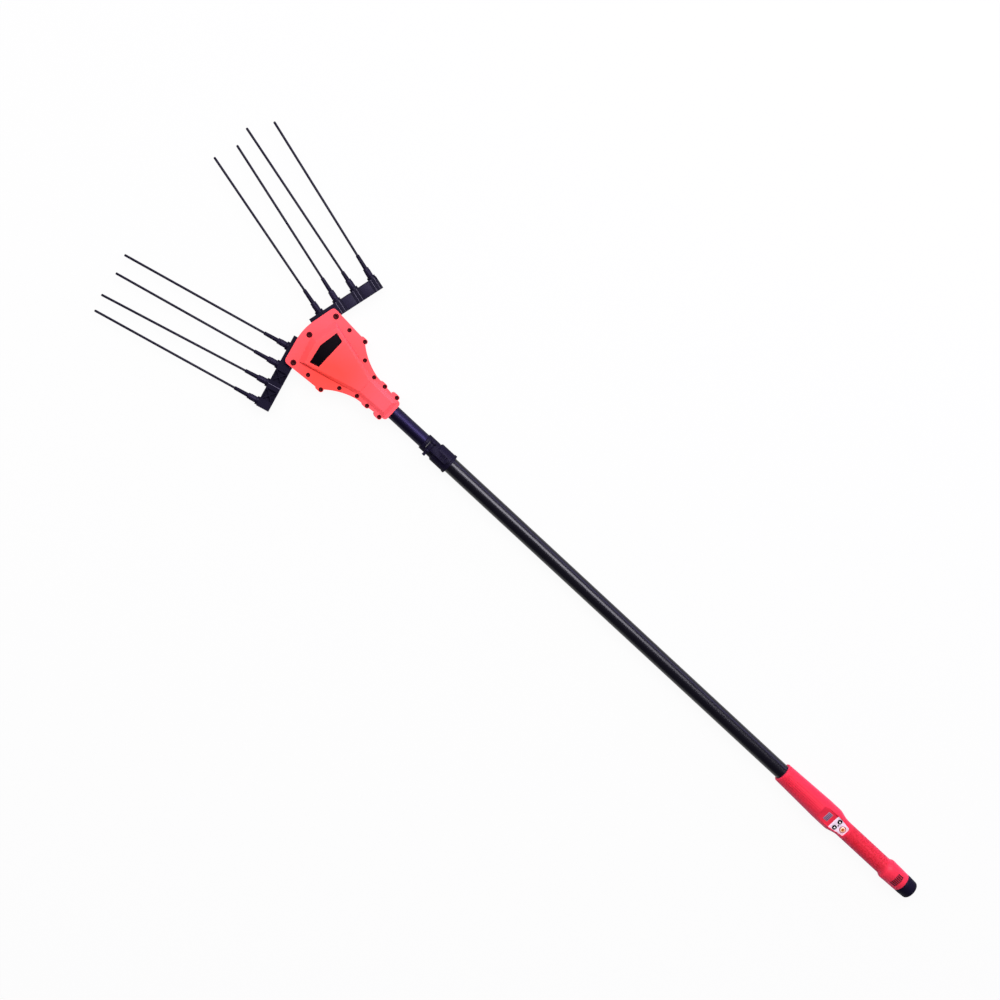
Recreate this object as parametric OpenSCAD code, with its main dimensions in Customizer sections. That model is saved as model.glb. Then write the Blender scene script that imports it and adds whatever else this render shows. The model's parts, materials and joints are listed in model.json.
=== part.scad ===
// Electric olive harvester: two swinging combs on a drive head, on a telescopic pole with a powered handle.
// The pole's axis runs along X with the head towards +X, and the cover of the head faces up.
// The origin lies under the middle of the whole tool, on the surface that it rests on.

/* [Pole] */
// Outside diameter of the outer tube
outer_tube_d = 35; // [30:0.5:38]
// Wall of both tubes
tube_wall = 1.5; // [1:0.1:2]
// Gap between the inner and the outer tube on each side
tube_gap = 0.5; // [0.3:0.05:0.8]
// Length of outer tube that shows between handle and clamp
outer_show = 993; // [600:5:1400]
// Length of inner tube that shows between clamp and head when pushed in
inner_show = 89; // [60:1:200]
// Room behind the inner tube inside the outer tube when pushed in
tube_end_room = 95; // [60:5:200]
// Depth of the outer tube inside the handle
handle_seat = 110; // [80:1:116]
// Depth of the inner tube inside the head
head_seat = 43; // [34:1:44]
// Length of the guide bush at the rear of the inner tube
guide_l = 40; // [20:1:60]

/* [Clamp] */
// Length of the clamp body along the pole
clamp_l = 73; // [68:1:90]
// Diameter of the clamp where it holds the outer tube
clamp_body_d = 43; // [42:0.5:48]
// Diameter of the rear flange
clamp_flange_d = 45.4; // [44:0.2:52]
// Width of the rear flange
clamp_flange_w = 6; // [3:0.5:9]
// Wall of the front collar round the inner tube
collar_wall = 2.8; // [2.2:0.1:4]
// Length of the front collar
collar_l = 31; // [28:1:36]
// Diameter of the lever's cross pin
lever_pin_d = 5; // [4:0.2:6]
// Length of the lever from its pin to its tip
lever_l = 47; // [35:1:50]
// Width of the lever
lever_w = 15; // [11:0.5:18]
// Thickness of the lever's plate
lever_t = 4.5; // [3:0.1:6]
// Distance that the cam stands off its pin
cam_throw = 1; // [0.5:0.1:1.5]

/* [Head] */
// Length of the head from nose to rear end
head_l = 248; // [244:1:270]
// Width of the head at its front corners
head_w = 149.6; // [146:0.2:160]
// Radius of the nose
nose_r = 115; // [90:1:150]
// Slope of the two front edges in degrees
nose_angle = 12.9; // [9:0.1:14]
// Radius of the front corners
corner_r = 9; // [7:0.5:12]
// Inward slope of the sides in degrees
side_angle = 3.8; // [2.5:0.1:4.2]
// Radius of the concave sweep from the body to the neck
sweep_r = 150; // [120:5:250]
// Width of the neck where the sweep ends
neck_w = 63; // [62:0.5:66]
// Width of the neck at its rear end
neck_end_w = 48.6; // [47:0.2:54]
// Height of the flange above the pole's axis
flange_h = 18; // [17:0.5:20]
// Thickness of the cover's and the base's flat plates
plate_t = 4; // [3:0.1:5]
// Wall of the sides and of the raised deck
head_wall = 3.5; // [2.5:0.1:4]
// Height of the cover's deck at its front above the axis
deck_h = 27; // [25:0.5:30]
// Height of the cover's neck above the axis
neck_h = 22.5; // [21.5:0.5:26]
// Depth of the base below the axis
base_h = 27; // [27:0.5:30]
// Half width of the deck at its front corners
deck_half_w = 51; // [44:0.5:54]
// Radius of the deck's edges
deck_edge_r = 4; // [1.5:0.5:5]
// Diameter of the small screws' heads
screw_head_d = 8.5; // [7:0.5:9]
// Diameter of the small screws' threads
screw_d = 5; // [3.5:0.5:5]
// Diameter of the large screws' heads
corner_head_d = 11.5; // [10:0.5:14]
// Diameter of the large screws' threads
corner_screw_d = 6; // [5:0.5:7]
// Thickness of the badge plate
badge_t = 1.2; // [0.8:0.1:2]

/* [Combs] */
// Splay of each comb at rest in degrees
splay = 14; // [12:0.5:16]
// Distance of the comb pivots from the pole's axis
pivot_y = 64.2; // [63:0.2:66]
// Distance of the comb pivots behind the nose
pivot_back = 29.7; // [28:0.1:31]
// Diameter of the pivot pins
pivot_d = 12; // [10:0.5:12]
// Wall of the pivot bushes
bush_wall = 2; // [1.5:0.1:2.5]
// Height of the comb bars
bar_h = 18; // [17:0.5:20]
// Width of the comb bars along the tines
bar_w = 28; // [27:0.5:32]
// Distance of the bar's front face from its pivot
bar_front = 25; // [23:0.5:28]
// Length of bar inside the first tine
bar_inner = 25.5; // [24:0.5:28]
// Length of bar outside the last tine
bar_outer = 9.7; // [9.5:0.1:16]
// Distance of the first tine inside the pivot
first_tine = 23.7; // [21:0.1:25]
// Distance from tine to tine
tine_pitch = 42.6; // [41:0.2:46]
// Number of tines on each comb
tines = 4; // [4:1:4]
// Diameter of the tines
tine_d = 5; // [4:0.2:6]
// Reach of the tines from the bar's front face to the tip
tine_reach = 374; // [250:1:450]
// Depth of the tines inside the bar
tine_seat = 19; // [16:0.5:20]
// Distance that the third tine on the right is pulled out
loose_tine = 14; // [0:1:15]
// Diameter of the tine bosses on the bar
boss_d = 18; // [16.5:0.5:18]
// Length of the tine bosses
boss_l = 5; // [3:0.5:8]
// Width across the flats of the tine nuts
nut_af = 13; // [11:0.5:14]
// Length of the tine nuts
nut_l = 19.5; // [14:0.5:26]
// Diameter of the tine sleeves at the nut
sleeve_d = 9; // [8:0.2:10]
// Diameter of the tine sleeves at the free end
sleeve_tip_d = 7.6; // [6.8:0.2:8]
// Length of the tine sleeves
sleeve_l = 31; // [22:0.5:40]

/* [Drive] */
// Thickness of the rocker plates
rocker_t = 3; // [2.5:0.1:3.5]
// Distance of the rod pin behind the pivot, square to the bar
arm_back = 31; // [28:0.5:33]
// Distance of the rod pin inside the pivot, along the bar
arm_in = 34; // [32:0.5:36]
// Diameter of the rod pins
rod_pin_d = 8; // [6:0.5:9]
// Thickness of the connecting rods
rod_t = 4; // [3:0.1:4.2]
// Distance of the crank's axis from the rear end of the head
crank_back = 133; // [130:0.5:138]
// Throw of the crank's eccentric
crank_throw = 3; // [2:0.1:4]
// Diameter of the crank disc
crank_d = 34; // [30:0.5:36]
// Diameter of the crank's eccentric stub
stub_d = 10; // [8:0.5:11]
// Diameter of the crank's shaft
shaft_d = 12; // [10:0.5:13]
// Outside diameter of the output bearing
bearing_d = 24; // [22:0.5:26]
// Length of the gearbox along the pole
gearbox_l = 46; // [44:0.5:50]
// Width of the gearbox
gearbox_w = 42; // [40:0.5:46]
// Diameter of the motor
motor_d = 38; // [34:0.5:38]
// Length of the motor
motor_l = 56; // [50:0.5:58]

/* [Handle] */
// Length of the end cap
cap_l = 31; // [27:0.5:37]
// Length of the flared part between end cap and grip
flare_l = 57.5; // [52:0.5:64]
// Length of the grip
grip_l = 120; // [100:1:135]
// Length of the slope from grip to barrel
slope_l = 42; // [38:0.5:48]
// Length of the barrel's widest part
barrel_l = 33; // [28:0.5:38]
// Length of the taper from barrel to mouth
taper_l = 124; // [121:0.5:140]
// Diameter of the handle's mouth
mouth_d = 45; // [43:0.5:48]
// Diameter of the barrel
barrel_d = 53; // [51:0.5:54]
// Diameter of the grip
grip_d = 40; // [38:0.5:42]
// Diameter of the flare
flare_d = 47.8; // [45:0.2:52]
// Diameter of the end cap
cap_d = 44.6; // [43:0.2:46]
// Radius of the end cap's rear edge
cap_round = 6; // [3:0.5:9]
// Wall of the handle shells
shell_wall = 3; // [2.4:0.1:3.4]
// Turn of the handle about the pole in degrees
handle_roll = 10; // [0:1:20]
// Height of the display facet's front edge above the axis
facet_h = 22.5; // [21.5:0.1:23.5]
// Length of the display facet
facet_l = 39.5; // [34:0.5:42]
// Length of the control panel
panel_l = 41; // [38:0.1:42]
// Half width of the panel's front edge
panel_half_front = 16.8; // [15.5:0.1:17]
// Half width of the panel's rear edge
panel_half_rear = 11.6; // [11:0.1:12]
// Thickness of the control panel
panel_t = 1.2; // [0.8:0.1:1.4]
// Diameter of the two black buttons
button_d = 9; // [8:0.2:9.4]
// Diameter of the power button
power_d = 12; // [10:0.2:12.6]
// Travel of the buttons
button_travel = 1; // [0.6:0.1:1.2]
// Number of vent slots
vents = 7; // [3:1:7]
// Length of the vent slots
vent_l = 15; // [10:0.5:16]
// Width of the vent slots
vent_w = 2; // [1.4:0.1:2.2]
// Diameter of the power socket's opening
socket_d = 15; // [12:0.5:16]
// Depth of the power socket
socket_l = 16; // [12:0.5:18]

/* [Fits] */
// Running clearance of shafts and pins, per side
run_gap = 0.04; // [0.02:0.01:0.08]
// Sliding clearance of the inner tube, per side
slide_gap = 0.08; // [0.05:0.01:0.1]
// Gap between faces that pass each other
face_gap = 0.3; // [0.2:0.05:0.4]
// Clearance of buttons in their holes, per side
button_gap = 0.15; // [0.1:0.05:0.25]

/* [Hidden] */
$fn = 64;
cut = 1;
far = 400;

// Tubes
outer_r = outer_tube_d / 2;
inner_r = outer_r - tube_wall - tube_gap;

// Stations along the pole, counted from the rear end of the handle
grip_rear = cap_l + flare_l;
grip_front = grip_rear + grip_l;
barrel_rear = grip_front + slope_l;
barrel_front = barrel_rear + barrel_l;
mouth_x = barrel_front + taper_l;
clamp_x = mouth_x + outer_show;
clamp_end = clamp_x + clamp_l;
head_rear = clamp_end + inner_show;
nose_x = head_rear + head_l;
tube_rear = mouth_x + tube_end_room;

// Head levels and inner room
room_h = flange_h - plate_t;
bar_half = bar_h / 2;
rocker_z = -bar_half - rocker_t;
slot_h = bar_half + rocker_t + face_gap;
slot_back = pivot_back + 16;
room_end = head_l - head_seat - 4;

// Comb positions in the frame of a pivot: along the tines and along the bar
bar_rear = bar_front - bar_w;
bar_in_end = -first_tine - bar_inner;
bar_out_end = -first_tine + (tines - 1) * tine_pitch + bar_outer;
bush_r = pivot_d / 2 + bush_wall;
boss_r = bush_r + 3;
function tine_y(i) = -first_tine + i * tine_pitch;
// How far each rod stands out of its seat, or is pushed in
left_out = [0, -2, 3, 0];
right_out = [0, -4.5, loose_tine, -5];
function tine_out(side, i) = (side > 0 ? left_out : right_out)[i];
// The bores of the rods that can be pushed in go deeper
function tine_spare(i) = i == 0 ? 0 : -min(concat(left_out, right_out));
// Each rod stands a little off square, in degrees outwards
left_lean = [-0.35, -0.63, 0.83, -0.4];
right_lean = [-0.87, 0.51, -0.59, 1.08];
function tine_lean(side, i) = (side > 0 ? left_lean : right_lean)[i];
function comb_x(u, w) = -pivot_back + u * cos(splay) - w * sin(splay);
function comb_y(u, w) = pivot_y + u * sin(splay) + w * cos(splay);

// Drive levels, from the gearbox up
gearbox_top = -2;
crank_at = head_l - crank_back;
disc_z = gearbox_top + face_gap;
disc_t = 3.5;
stub_l = 3;
rod_z = [disc_z + disc_t + stub_l + face_gap, disc_z + disc_t + stub_l + 2 * face_gap + rod_t];
rod_eye = [comb_x(-arm_back, -arm_in), comb_y(-arm_back, -arm_in)];
crank_eye = [-crank_at + crank_throw, 0];
rod_l = norm(rod_eye - crank_eye);
rod_turn = atan2(rod_eye[1] - crank_eye[1], rod_eye[0] - crank_eye[0]);
room_floor = -base_h + head_wall;
motor_z = room_floor + motor_d / 2 + 0.5;
gearbox_rear = crank_at + gearbox_l / 2 + 4;
gearbox_flange = 8;

// Screws of the head: distance behind the nose and from the axis, and whether on a lug
side_screw_back = [68.5, 107.7, 133.4, 170.8];
side_screw_out = [62.4, 66.7, 38.7, 26];
side_screw_lug = [0, 1, 0, 0];
neck_screw = [48.4, 14.5];
neck_screw_out = 26.8;
cover_screw = concat(
  [for (i = [0 : 3]) [side_screw_back[i], side_screw_out[i], side_screw_lug[i]]],
  [for (d = neck_screw) [head_l - d, neck_screw_out, 1]]
);
nose_screw = 15.3;
screw_boss_r = 6;
lug_r = 5.6;
lug_l = 8;
screw_seat = flange_h - 6;
screw_head_h = 4.5;
corner_seat = flange_h - 3.5;
corner_head_h = 4.5;

// Deck and badge
deck_front = 31;
deck_corner = 45;
deck_tail = 80;
deck_rear = head_l - deck_tail;
deck_rear_half = 18;
deck_foot = 5;
deck_ramp = 5;
neck_end_half = 16;
neck_end_in = 12;
deck_slope = atan2(deck_h - neck_h, deck_rear - deck_corner);
badge_front = 46;
badge_corner = 53.5;
badge_rear = 73.5;
badge_half_front = 41;
badge_half_rear = 35;

// Handle levels
barrel_r = barrel_d / 2;
grip_r = grip_d / 2;
flare_r = flare_d / 2;
cap_r = cap_d / 2;
mouth_r = mouth_d / 2;
panel_rear = grip_front + 1.6;
panel_front = panel_rear + panel_l;
panel_z_rear = 14.2;
panel_z_front = 16.6;
facet_front = panel_front + facet_l;
panel_slope = atan2(panel_z_front - panel_z_rear, panel_l);
facet_slope = atan2(facet_h - panel_z_front, facet_l);
flare_curve_l = 11;
panel_round = 5;
panel_proud = 0.2;
power_at = 11.3;
button_at = 29;
button_out = 8.4;
led_at = 25.1;
led_d = 2.6;
display_l = 13;
display_w = 20;
display_t = 1.6;
display_at = 17.4;
facet_half = 16.4;
pocket_gap = 0.4;
button_proud = [1.6, 1.2];
button_lip = 1;
lip_z = -shell_wall - button_lip;
stem_z = lip_z - 1;
stem_d = 4;
board_z = stem_z - button_travel - 4;
board_t = 1.6;
board_l = 62;
board_w = 24;
board_at = 26;
post_d = 5;
switch_w = 6;
switch_h = 3;
cavity_front = mouth_x - handle_seat - 5;
spigot_l = 12;
spigot_gap = 0.1;
handle_screw_in = 14;
handle_screw_front = 36;
handle_screw = [grip_rear + handle_screw_in, grip_front - handle_screw_front, barrel_front - 4];
handle_screw_d = 3.5;
handle_head_d = 7;
handle_head_h = 3;
handle_boss_d = 9;
groove_count = 5;
groove_pitch = 5.3;
groove_w = 1.5;
groove_deep = 0.7;
groove_end = 10;
vent_pitch = 4.2;
vent_at = cap_l + 12;
vent_rib = 1.2;
vent_rib_deep = 1;
vent_ribs = 2;

// Clamp levels
clamp_r = clamp_body_d / 2;
collar_r = inner_r + collar_wall;
collar_x = clamp_x + clamp_l - collar_l;
lever_x = collar_x + collar_l / 2;
cam_r = 5.5;
pad_t = 2;
pad_z = inner_r + face_gap;
lever_z = pad_z + pad_t + 0.2 + cam_r + cam_throw;
hub_r = cam_r + cam_throw;
cheek_t = 4;
cheek_gap = 0.5;
cheek_in = lever_w / 2 + cheek_gap;
window_l = 2 * hub_r + 3;
pin_out = 19;
pin_head_d = 7;
pin_head_l = 4;

// Extent of the whole tool, which sets its origin
axis_h = max(base_h, barrel_r);
function tip_x(side, i) = let (l = tine_reach + tine_out(side, i), a = tine_lean(side, i))
  comb_x(bar_front + l * cos(a), tine_y(i) + l * sin(a)) + (tine_d - 1) / 2 * sin(splay + a);
front_x = nose_x + max([for (side = [1, -1], i = [0 : tines - 1]) tip_x(side, i)]);
mid_x = front_x / 2;

SIDES = ["left", "right"];

// Colours
red = [0.93, 0.27, 0.28];
crimson = [0.86, 0.16, 0.22];
black = [0.1, 0.09, 0.14];
steel = [0.7, 0.71, 0.73];
bronze = [0.7, 0.53, 0.3];
brass = [0.83, 0.68, 0.35];

// Outlines and placing helpers
function on_circle(c, r, a) = [c[0] + r * cos(a), c[1] + r * sin(a)];
function arc(c, r, a0, a1, n) = [for (i = [0 : n]) on_circle(c, r, a0 + (a1 - a0) * i / n)];
function flip_y(pts) = [for (i = [len(pts) - 1 : -1 : 0]) [pts[i][0], -pts[i][1]]];
function both_sides(half) = concat(half, flip_y(half));
function ease(u) = u * u * (3 - 2 * u);
function top_edge(pts, drop) = [for (p = pts) [p[0], p[1] - drop]];

module place() {
  translate([-mid_x, 0, axis_h]) children();
}

module along_x(x) {
  translate([x, 0, 0]) rotate([0, 90, 0]) children();
}

module at_nose() {
  translate([nose_x, 0, 0]) children();
}

module in_comb(side) {
  at_nose() mirror([0, side < 0 ? 1 : 0, 0]) translate([-pivot_back, pivot_y, 0]) rotate(splay) children();
}

module at_tine(side, i) {
  translate([bar_front, tine_y(i), 0]) rotate(tine_lean(side, i)) rotate([0, 90, 0]) children();
}

module at_side(side) {
  at_nose() mirror([0, side < 0 ? 1 : 0, 0]) children();
}

module in_handle() {
  rotate([-handle_roll, 0, 0]) children();
}

module on_panel() {
  translate([panel_rear, 0, panel_z_rear]) rotate([0, -panel_slope, 0]) children();
}

module on_facet() {
  translate([panel_front, 0, panel_z_front]) rotate([0, -facet_slope, 0]) children();
}

module ring(r_out, r_in, l) {
  difference() {
    cylinder(r = r_out, h = l);
    translate([0, 0, -cut]) cylinder(r = r_in, h = l + 2 * cut);
  }
}

module socket_screw(head_d, head_h, d, l) {
  difference() {
    union() {
      cylinder(d = head_d, h = head_h);
      translate([0, 0, -l]) cylinder(d = d, h = l + cut);
    }
    translate([0, 0, head_h * 0.45]) cylinder(d = head_d * 0.55, h = head_h, $fn = 6);
  }
}

// Pole
module outer_tube() {
  color(black) along_x(mouth_x - handle_seat)
    ring(outer_r, outer_r - tube_wall, handle_seat + outer_show + clamp_l - collar_l - 4);
}

module inner_tube() {
  color(black) along_x(tube_rear) ring(inner_r, inner_r - tube_wall, head_rear + head_seat - tube_rear);
}

// The bush's collar closes the tube's rear end and slides in the outer tube
module tube_guide_bush() {
  collar = 10;
  plug_r = inner_r - tube_wall - run_gap;
  color(bronze) along_x(tube_rear - collar) difference() {
    union() {
      cylinder(r = outer_r - tube_wall - slide_gap, h = collar);
      cylinder(r = plug_r, h = guide_l);
    }
    translate([0, 0, -cut]) cylinder(r = plug_r - 3, h = guide_l + 2 * cut);
  }
}

// Clamp
function clamp_outline() = [
  [0, 0],
  [clamp_flange_d / 2, 0],
  [clamp_flange_d / 2, clamp_flange_w - 1],
  [clamp_r, clamp_flange_w],
  [clamp_r, clamp_l - collar_l - 3],
  [collar_r, clamp_l - collar_l + 1],
  [collar_r, clamp_l - 1],
  [collar_r - 1, clamp_l],
  [0, clamp_l]
];

module clamp_cheek() {
  translate([0, cheek_in, 0]) rotate([-90, 0, 0]) {
    cylinder(r = hub_r, h = cheek_t);
    translate([-hub_r, 0, 0]) cube([2 * hub_r, lever_z - inner_r / 2, cheek_t]);
  }
}

module clamp_body() {
  color(black) difference() {
    union() {
      along_x(clamp_x) rotate_extrude() polygon(clamp_outline());
      translate([lever_x, 0, lever_z]) {
        clamp_cheek();
        mirror([0, 1, 0]) clamp_cheek();
        translate([0, cheek_in + cheek_t - cut, 0]) rotate([-90, 0, 0])
          cylinder(d = pin_head_d, h = pin_out - cheek_in - cheek_t + cut);
      }
    }
    along_x(clamp_x - cut) cylinder(r = outer_r + run_gap, h = clamp_l - collar_l - 4 + cut);
    along_x(clamp_x) cylinder(r = inner_r + slide_gap, h = clamp_l + cut);
    translate([lever_x - window_l / 2, -cheek_in, 0]) cube([window_l, 2 * cheek_in, far]);
    translate([lever_x, -far / 2, lever_z]) rotate([-90, 0, 0]) cylinder(d = lever_pin_d, h = far);
    translate([collar_x - 2, -clamp_r - cut, -7]) cube([4, clamp_r - inner_r - 1, 14]);
  }
}

module clamp_pin() {
  in_end = cheek_in + cheek_t + 1;
  color(black) translate([lever_x, 0, lever_z]) rotate([-90, 0, 0]) {
    translate([0, 0, -in_end]) cylinder(d = lever_pin_d, h = in_end + pin_out + cut);
    translate([0, 0, pin_out]) cylinder(d = pin_head_d, h = pin_head_l);
  }
}

// The lever lies back over the clamp at rest, with its cam over the pad
module clamp_lever() {
  lift = clamp_r + 0.8 - lever_z;
  color(black) translate([lever_x, 0, lever_z]) difference() {
    union() {
      translate([0, lever_w / 2, -cam_throw]) rotate([90, 0, 0]) cylinder(r = cam_r, h = lever_w);
      translate([0, lever_w / 2, 0]) rotate([90, 0, 0]) linear_extrude(lever_w) polygon([
        [0, cam_r - cam_throw],
        [-hub_r, lift + lever_t],
        [8 - lever_l, lift + lever_t],
        [-lever_l, lift + lever_t + 3],
        [-lever_l, lift + 2.5],
        [8 - lever_l, lift],
        [-hub_r, lift],
        [-cam_r + 1, -cam_throw],
        [0, -cam_throw]
      ]);
    }
    translate([0, lever_w, 0]) rotate([90, 0, 0]) cylinder(d = lever_pin_d + 2 * run_gap, h = 2 * lever_w);
    for (i = [0 : 3]) translate([6 - lever_l + i * 3.5, -lever_w / 2 + 2, lift + lever_t - 0.6])
      cube([1.4, lever_w - 4, 5]);
  }
}

module clamp_pad() {
  l = window_l - 2 * face_gap;
  w = 2 * cheek_in - 2 * face_gap;
  color(black) intersection() {
    translate([lever_x - l / 2, -w / 2, 0]) cube([l, w, pad_z + pad_t]);
    along_x(lever_x - l) ring(far, pad_z, 2 * l);
  }
}

// Head shells
corner_c_y = head_w / 2 - corner_r;
corner_c = [-nose_r + (nose_r - corner_r - corner_c_y * sin(nose_angle)) / cos(nose_angle), corner_c_y];
side_end = [-cover_screw[1][0], corner_c[1] + corner_r - (cover_screw[1][0] + corner_c[0]) * tan(side_angle)];
sweep_from = [side_end[0] - 2.3, side_end[1] - 4.6];
sweep_to = [-cover_screw[3][0] - 3.2, neck_w / 2];
sweep_mid = (sweep_from + sweep_to) / 2;
sweep_half = norm(sweep_to - sweep_from) / 2;
sweep_dir = (sweep_to - sweep_from) / (2 * sweep_half);
sweep_c = sweep_mid + sqrt(sweep_r * sweep_r - sweep_half * sweep_half) * [sweep_dir[1], -sweep_dir[0]];
function toward(c, p) = atan2(p[1] - c[1], p[0] - c[0]);

// Half of the head's plan from the nose to the rear, drawn in by d
function head_half(d) = concat(
  arc([-nose_r, 0], nose_r - d, 0, nose_angle, 4),
  arc(corner_c, corner_r - d, nose_angle, 90 + side_angle, 8),
  [[side_end[0], side_end[1] - d]],
  arc(sweep_c, sweep_r + d, toward(sweep_c, sweep_from), toward(sweep_c, sweep_to), 10),
  arc([corner_r - 1 - head_l, neck_end_w / 2 - corner_r + 1], corner_r - 1 - d, 90, 180, 6)
);

module head_plan(d) {
  polygon(both_sides(head_half(d)));
}

module each_cover_screw() {
  for (s = cover_screw, side = [1, -1]) translate([-s[0], side * s[1], 0]) children();
}

module each_corner_screw() {
  translate([-nose_screw, 0, 0]) children();
  for (side = [1, -1]) translate([-pivot_back, side * pivot_y, 0]) children();
}

module lug_plan() {
  for (s = cover_screw, side = [1, -1]) if (s[2] == 1) translate([-s[0], side * s[1]]) {
    circle(lug_r);
    translate([lug_l, 0]) circle(lug_r);
    translate([0, -lug_r]) square([lug_l, 2 * lug_r]);
  }
}

// Flat plate with skirts, open at the front for the combs; up is its outer side
module half_shell() {
  difference() {
    linear_extrude(flange_h) union() {
      head_plan(0);
      lug_plan();
    }
    difference() {
      translate([0, 0, -cut]) linear_extrude(room_h + cut) intersection() {
        head_plan(head_wall);
        translate([-room_end, -far / 2]) square([room_end, far]);
      }
      each_cover_screw() cylinder(r = screw_boss_r, h = far);
    }
    translate([-slot_back, -far / 2, -cut]) cube([far, far, slot_h + cut]);
  }
  translate([-nose_screw, 0, 0]) cylinder(d = corner_head_d + 3, h = flange_h - cut);
}

function deck_plan(out, ramp = 0) = both_sides([
  [out + ramp - deck_front, 0],
  [out * 0.7 + ramp - deck_corner, deck_half_w + out],
  [-deck_rear, deck_rear_half + out]
]);
function neck_plan(out) = both_sides([
  [out - deck_rear, deck_rear_half + out],
  [neck_end_in - head_l - out, neck_end_half + out]
]);

module edge_ball(p, z) {
  translate([p[0], p[1], z - deck_edge_r]) sphere(deck_edge_r, $fn = 20);
}

// Raised deck that slopes down from its front to the neck
module deck(h_front, h_rear) {
  hull() {
    translate([0, 0, flange_h - cut]) linear_extrude(cut) polygon(deck_plan(deck_foot, deck_ramp));
    for (p = deck_plan(-deck_edge_r)) edge_ball(p, p[0] < -deck_rear + 20 ? h_rear : h_front);
  }
}

module neck_top(h) {
  hull() {
    translate([0, 0, flange_h - cut]) linear_extrude(cut) polygon(neck_plan(deck_foot));
    for (p = neck_plan(-deck_edge_r)) edge_ball(p, h);
  }
}

module deck_room(h_front, h_rear) {
  inset = -head_wall - 1;
  hull() {
    translate([0, 0, room_h - cut]) linear_extrude(cut) polygon(deck_plan(inset + deck_foot));
    for (p = deck_plan(inset)) translate([p[0], p[1], (p[0] < -deck_rear + 20 ? h_rear : h_front) - head_wall - cut])
      cylinder(d = 1, h = cut, $fn = 8);
  }
}

// Room for the motor and bore for the inner tube, along the pole
module drive_room() {
  translate([-room_end, 0, motor_z]) rotate([0, 90, 0])
    cylinder(r = motor_d / 2 + 0.6, h = room_end - gearbox_rear + 8);
  translate([-room_end - cut, 0, 0]) rotate([0, 90, 0]) cylinder(r = inner_r - tube_wall - 3, h = 20, center = true);
  translate([-head_l - cut, 0, 0]) rotate([0, 90, 0]) cylinder(r = inner_r + run_gap, h = head_seat + cut);
}

module badge_shape(h) {
  translate([-deck_corner, 0, deck_h]) rotate([0, -deck_slope, 0]) translate([deck_corner, 0, -badge_t / 2])
    linear_extrude(h) polygon(both_sides([
      [-badge_front, 0],
      [-badge_corner, badge_half_front],
      [-badge_rear, badge_half_rear]
    ]));
}

module head_cover() {
  color(red) at_nose() difference() {
    union() {
      difference() {
        union() {
          half_shell();
          deck(deck_h, neck_h);
          neck_top(neck_h);
        }
        deck_room(deck_h, neck_h);
      }
      for (side = [1, -1]) translate([-pivot_back, side * pivot_y, bar_half + face_gap])
        cylinder(r = boss_r - 1, h = flange_h - bar_half - face_gap - cut);
    }
    drive_room();
    each_cover_screw() {
      translate([0, 0, -cut]) cylinder(d = screw_d, h = far);
      translate([0, 0, screw_seat]) cylinder(d = screw_head_d + 0.7, h = far);
    }
    each_corner_screw() {
      translate([0, 0, -cut]) cylinder(d = corner_screw_d, h = far);
      translate([0, 0, corner_seat]) cylinder(d = corner_head_d + 1, h = far);
    }
    for (side = [1, -1]) translate([-pivot_back, side * pivot_y, 0]) cylinder(d = pivot_d, h = corner_seat - 3);
    badge_shape(far);
  }
}

// The base is drawn with its outer side up and turned over
module head_base() {
  color(red) at_nose() difference() {
    union() {
      mirror([0, 0, 1]) {
        difference() {
          union() {
            half_shell();
            deck(base_h, base_h);
            neck_top(base_h);
          }
          deck_room(base_h, base_h);
        }
        for (side = [1, -1]) translate([-pivot_back, side * pivot_y, face_gap - rocker_z])
          cylinder(r = boss_r - 1, h = flange_h + rocker_z - face_gap - cut);
      }
      for (x = [gearbox_rear + 14, gearbox_rear + motor_l - 14])
        translate([-x - 2, 3 - deck_rear_half, room_floor - cut])
          cube([4, 2 * deck_rear_half - 6, motor_z - room_floor + cut]);
    }
    translate([-room_end, 0, motor_z]) rotate([0, 90, 0]) cylinder(d = motor_d, h = room_end - gearbox_rear + 8);
    drive_cuts();
    each_cover_screw() translate([0, 0, -9]) cylinder(d = screw_d, h = far);
    translate([-nose_screw, 0, -9]) cylinder(d = corner_screw_d, h = far);
    for (side = [1, -1]) translate([-pivot_back, side * pivot_y, -room_h - 2]) cylinder(d = pivot_d, h = far);
    each_gearbox_screw() translate([0, 0, -base_h + 1.5]) cylinder(d = 4, h = far);
  }
}

// Bore for the inner tube and the way for the leads
module drive_cuts() {
  translate([-room_end - cut, 0, 0]) rotate([0, 90, 0]) cylinder(r = inner_r - tube_wall - 3, h = 20, center = true);
  translate([-head_l - cut, 0, 0]) rotate([0, 90, 0]) cylinder(r = inner_r + run_gap, h = head_seat + cut);
}

module cover_screws() {
  color([0.2, 0.05, 0.08]) at_nose() each_cover_screw() translate([0, 0, screw_seat])
    socket_screw(screw_head_d, screw_head_h, screw_d, screw_seat + 8);
}

module corner_screws() {
  color([0.2, 0.05, 0.08]) at_nose() {
    each_corner_screw() translate([0, 0, corner_seat])
      socket_screw(corner_head_d, corner_head_h, corner_screw_d, corner_seat);
  }
}

module badge_plate() {
  color(black) at_nose() badge_shape(badge_t);
}

// Drive
module each_gearbox_screw() {
  for (i = [-1, 1], j = [-1, 1])
    translate([-crank_at + i * (gearbox_l / 2 - 5), j * (gearbox_w / 2 - 5), 0]) children();
}

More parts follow.
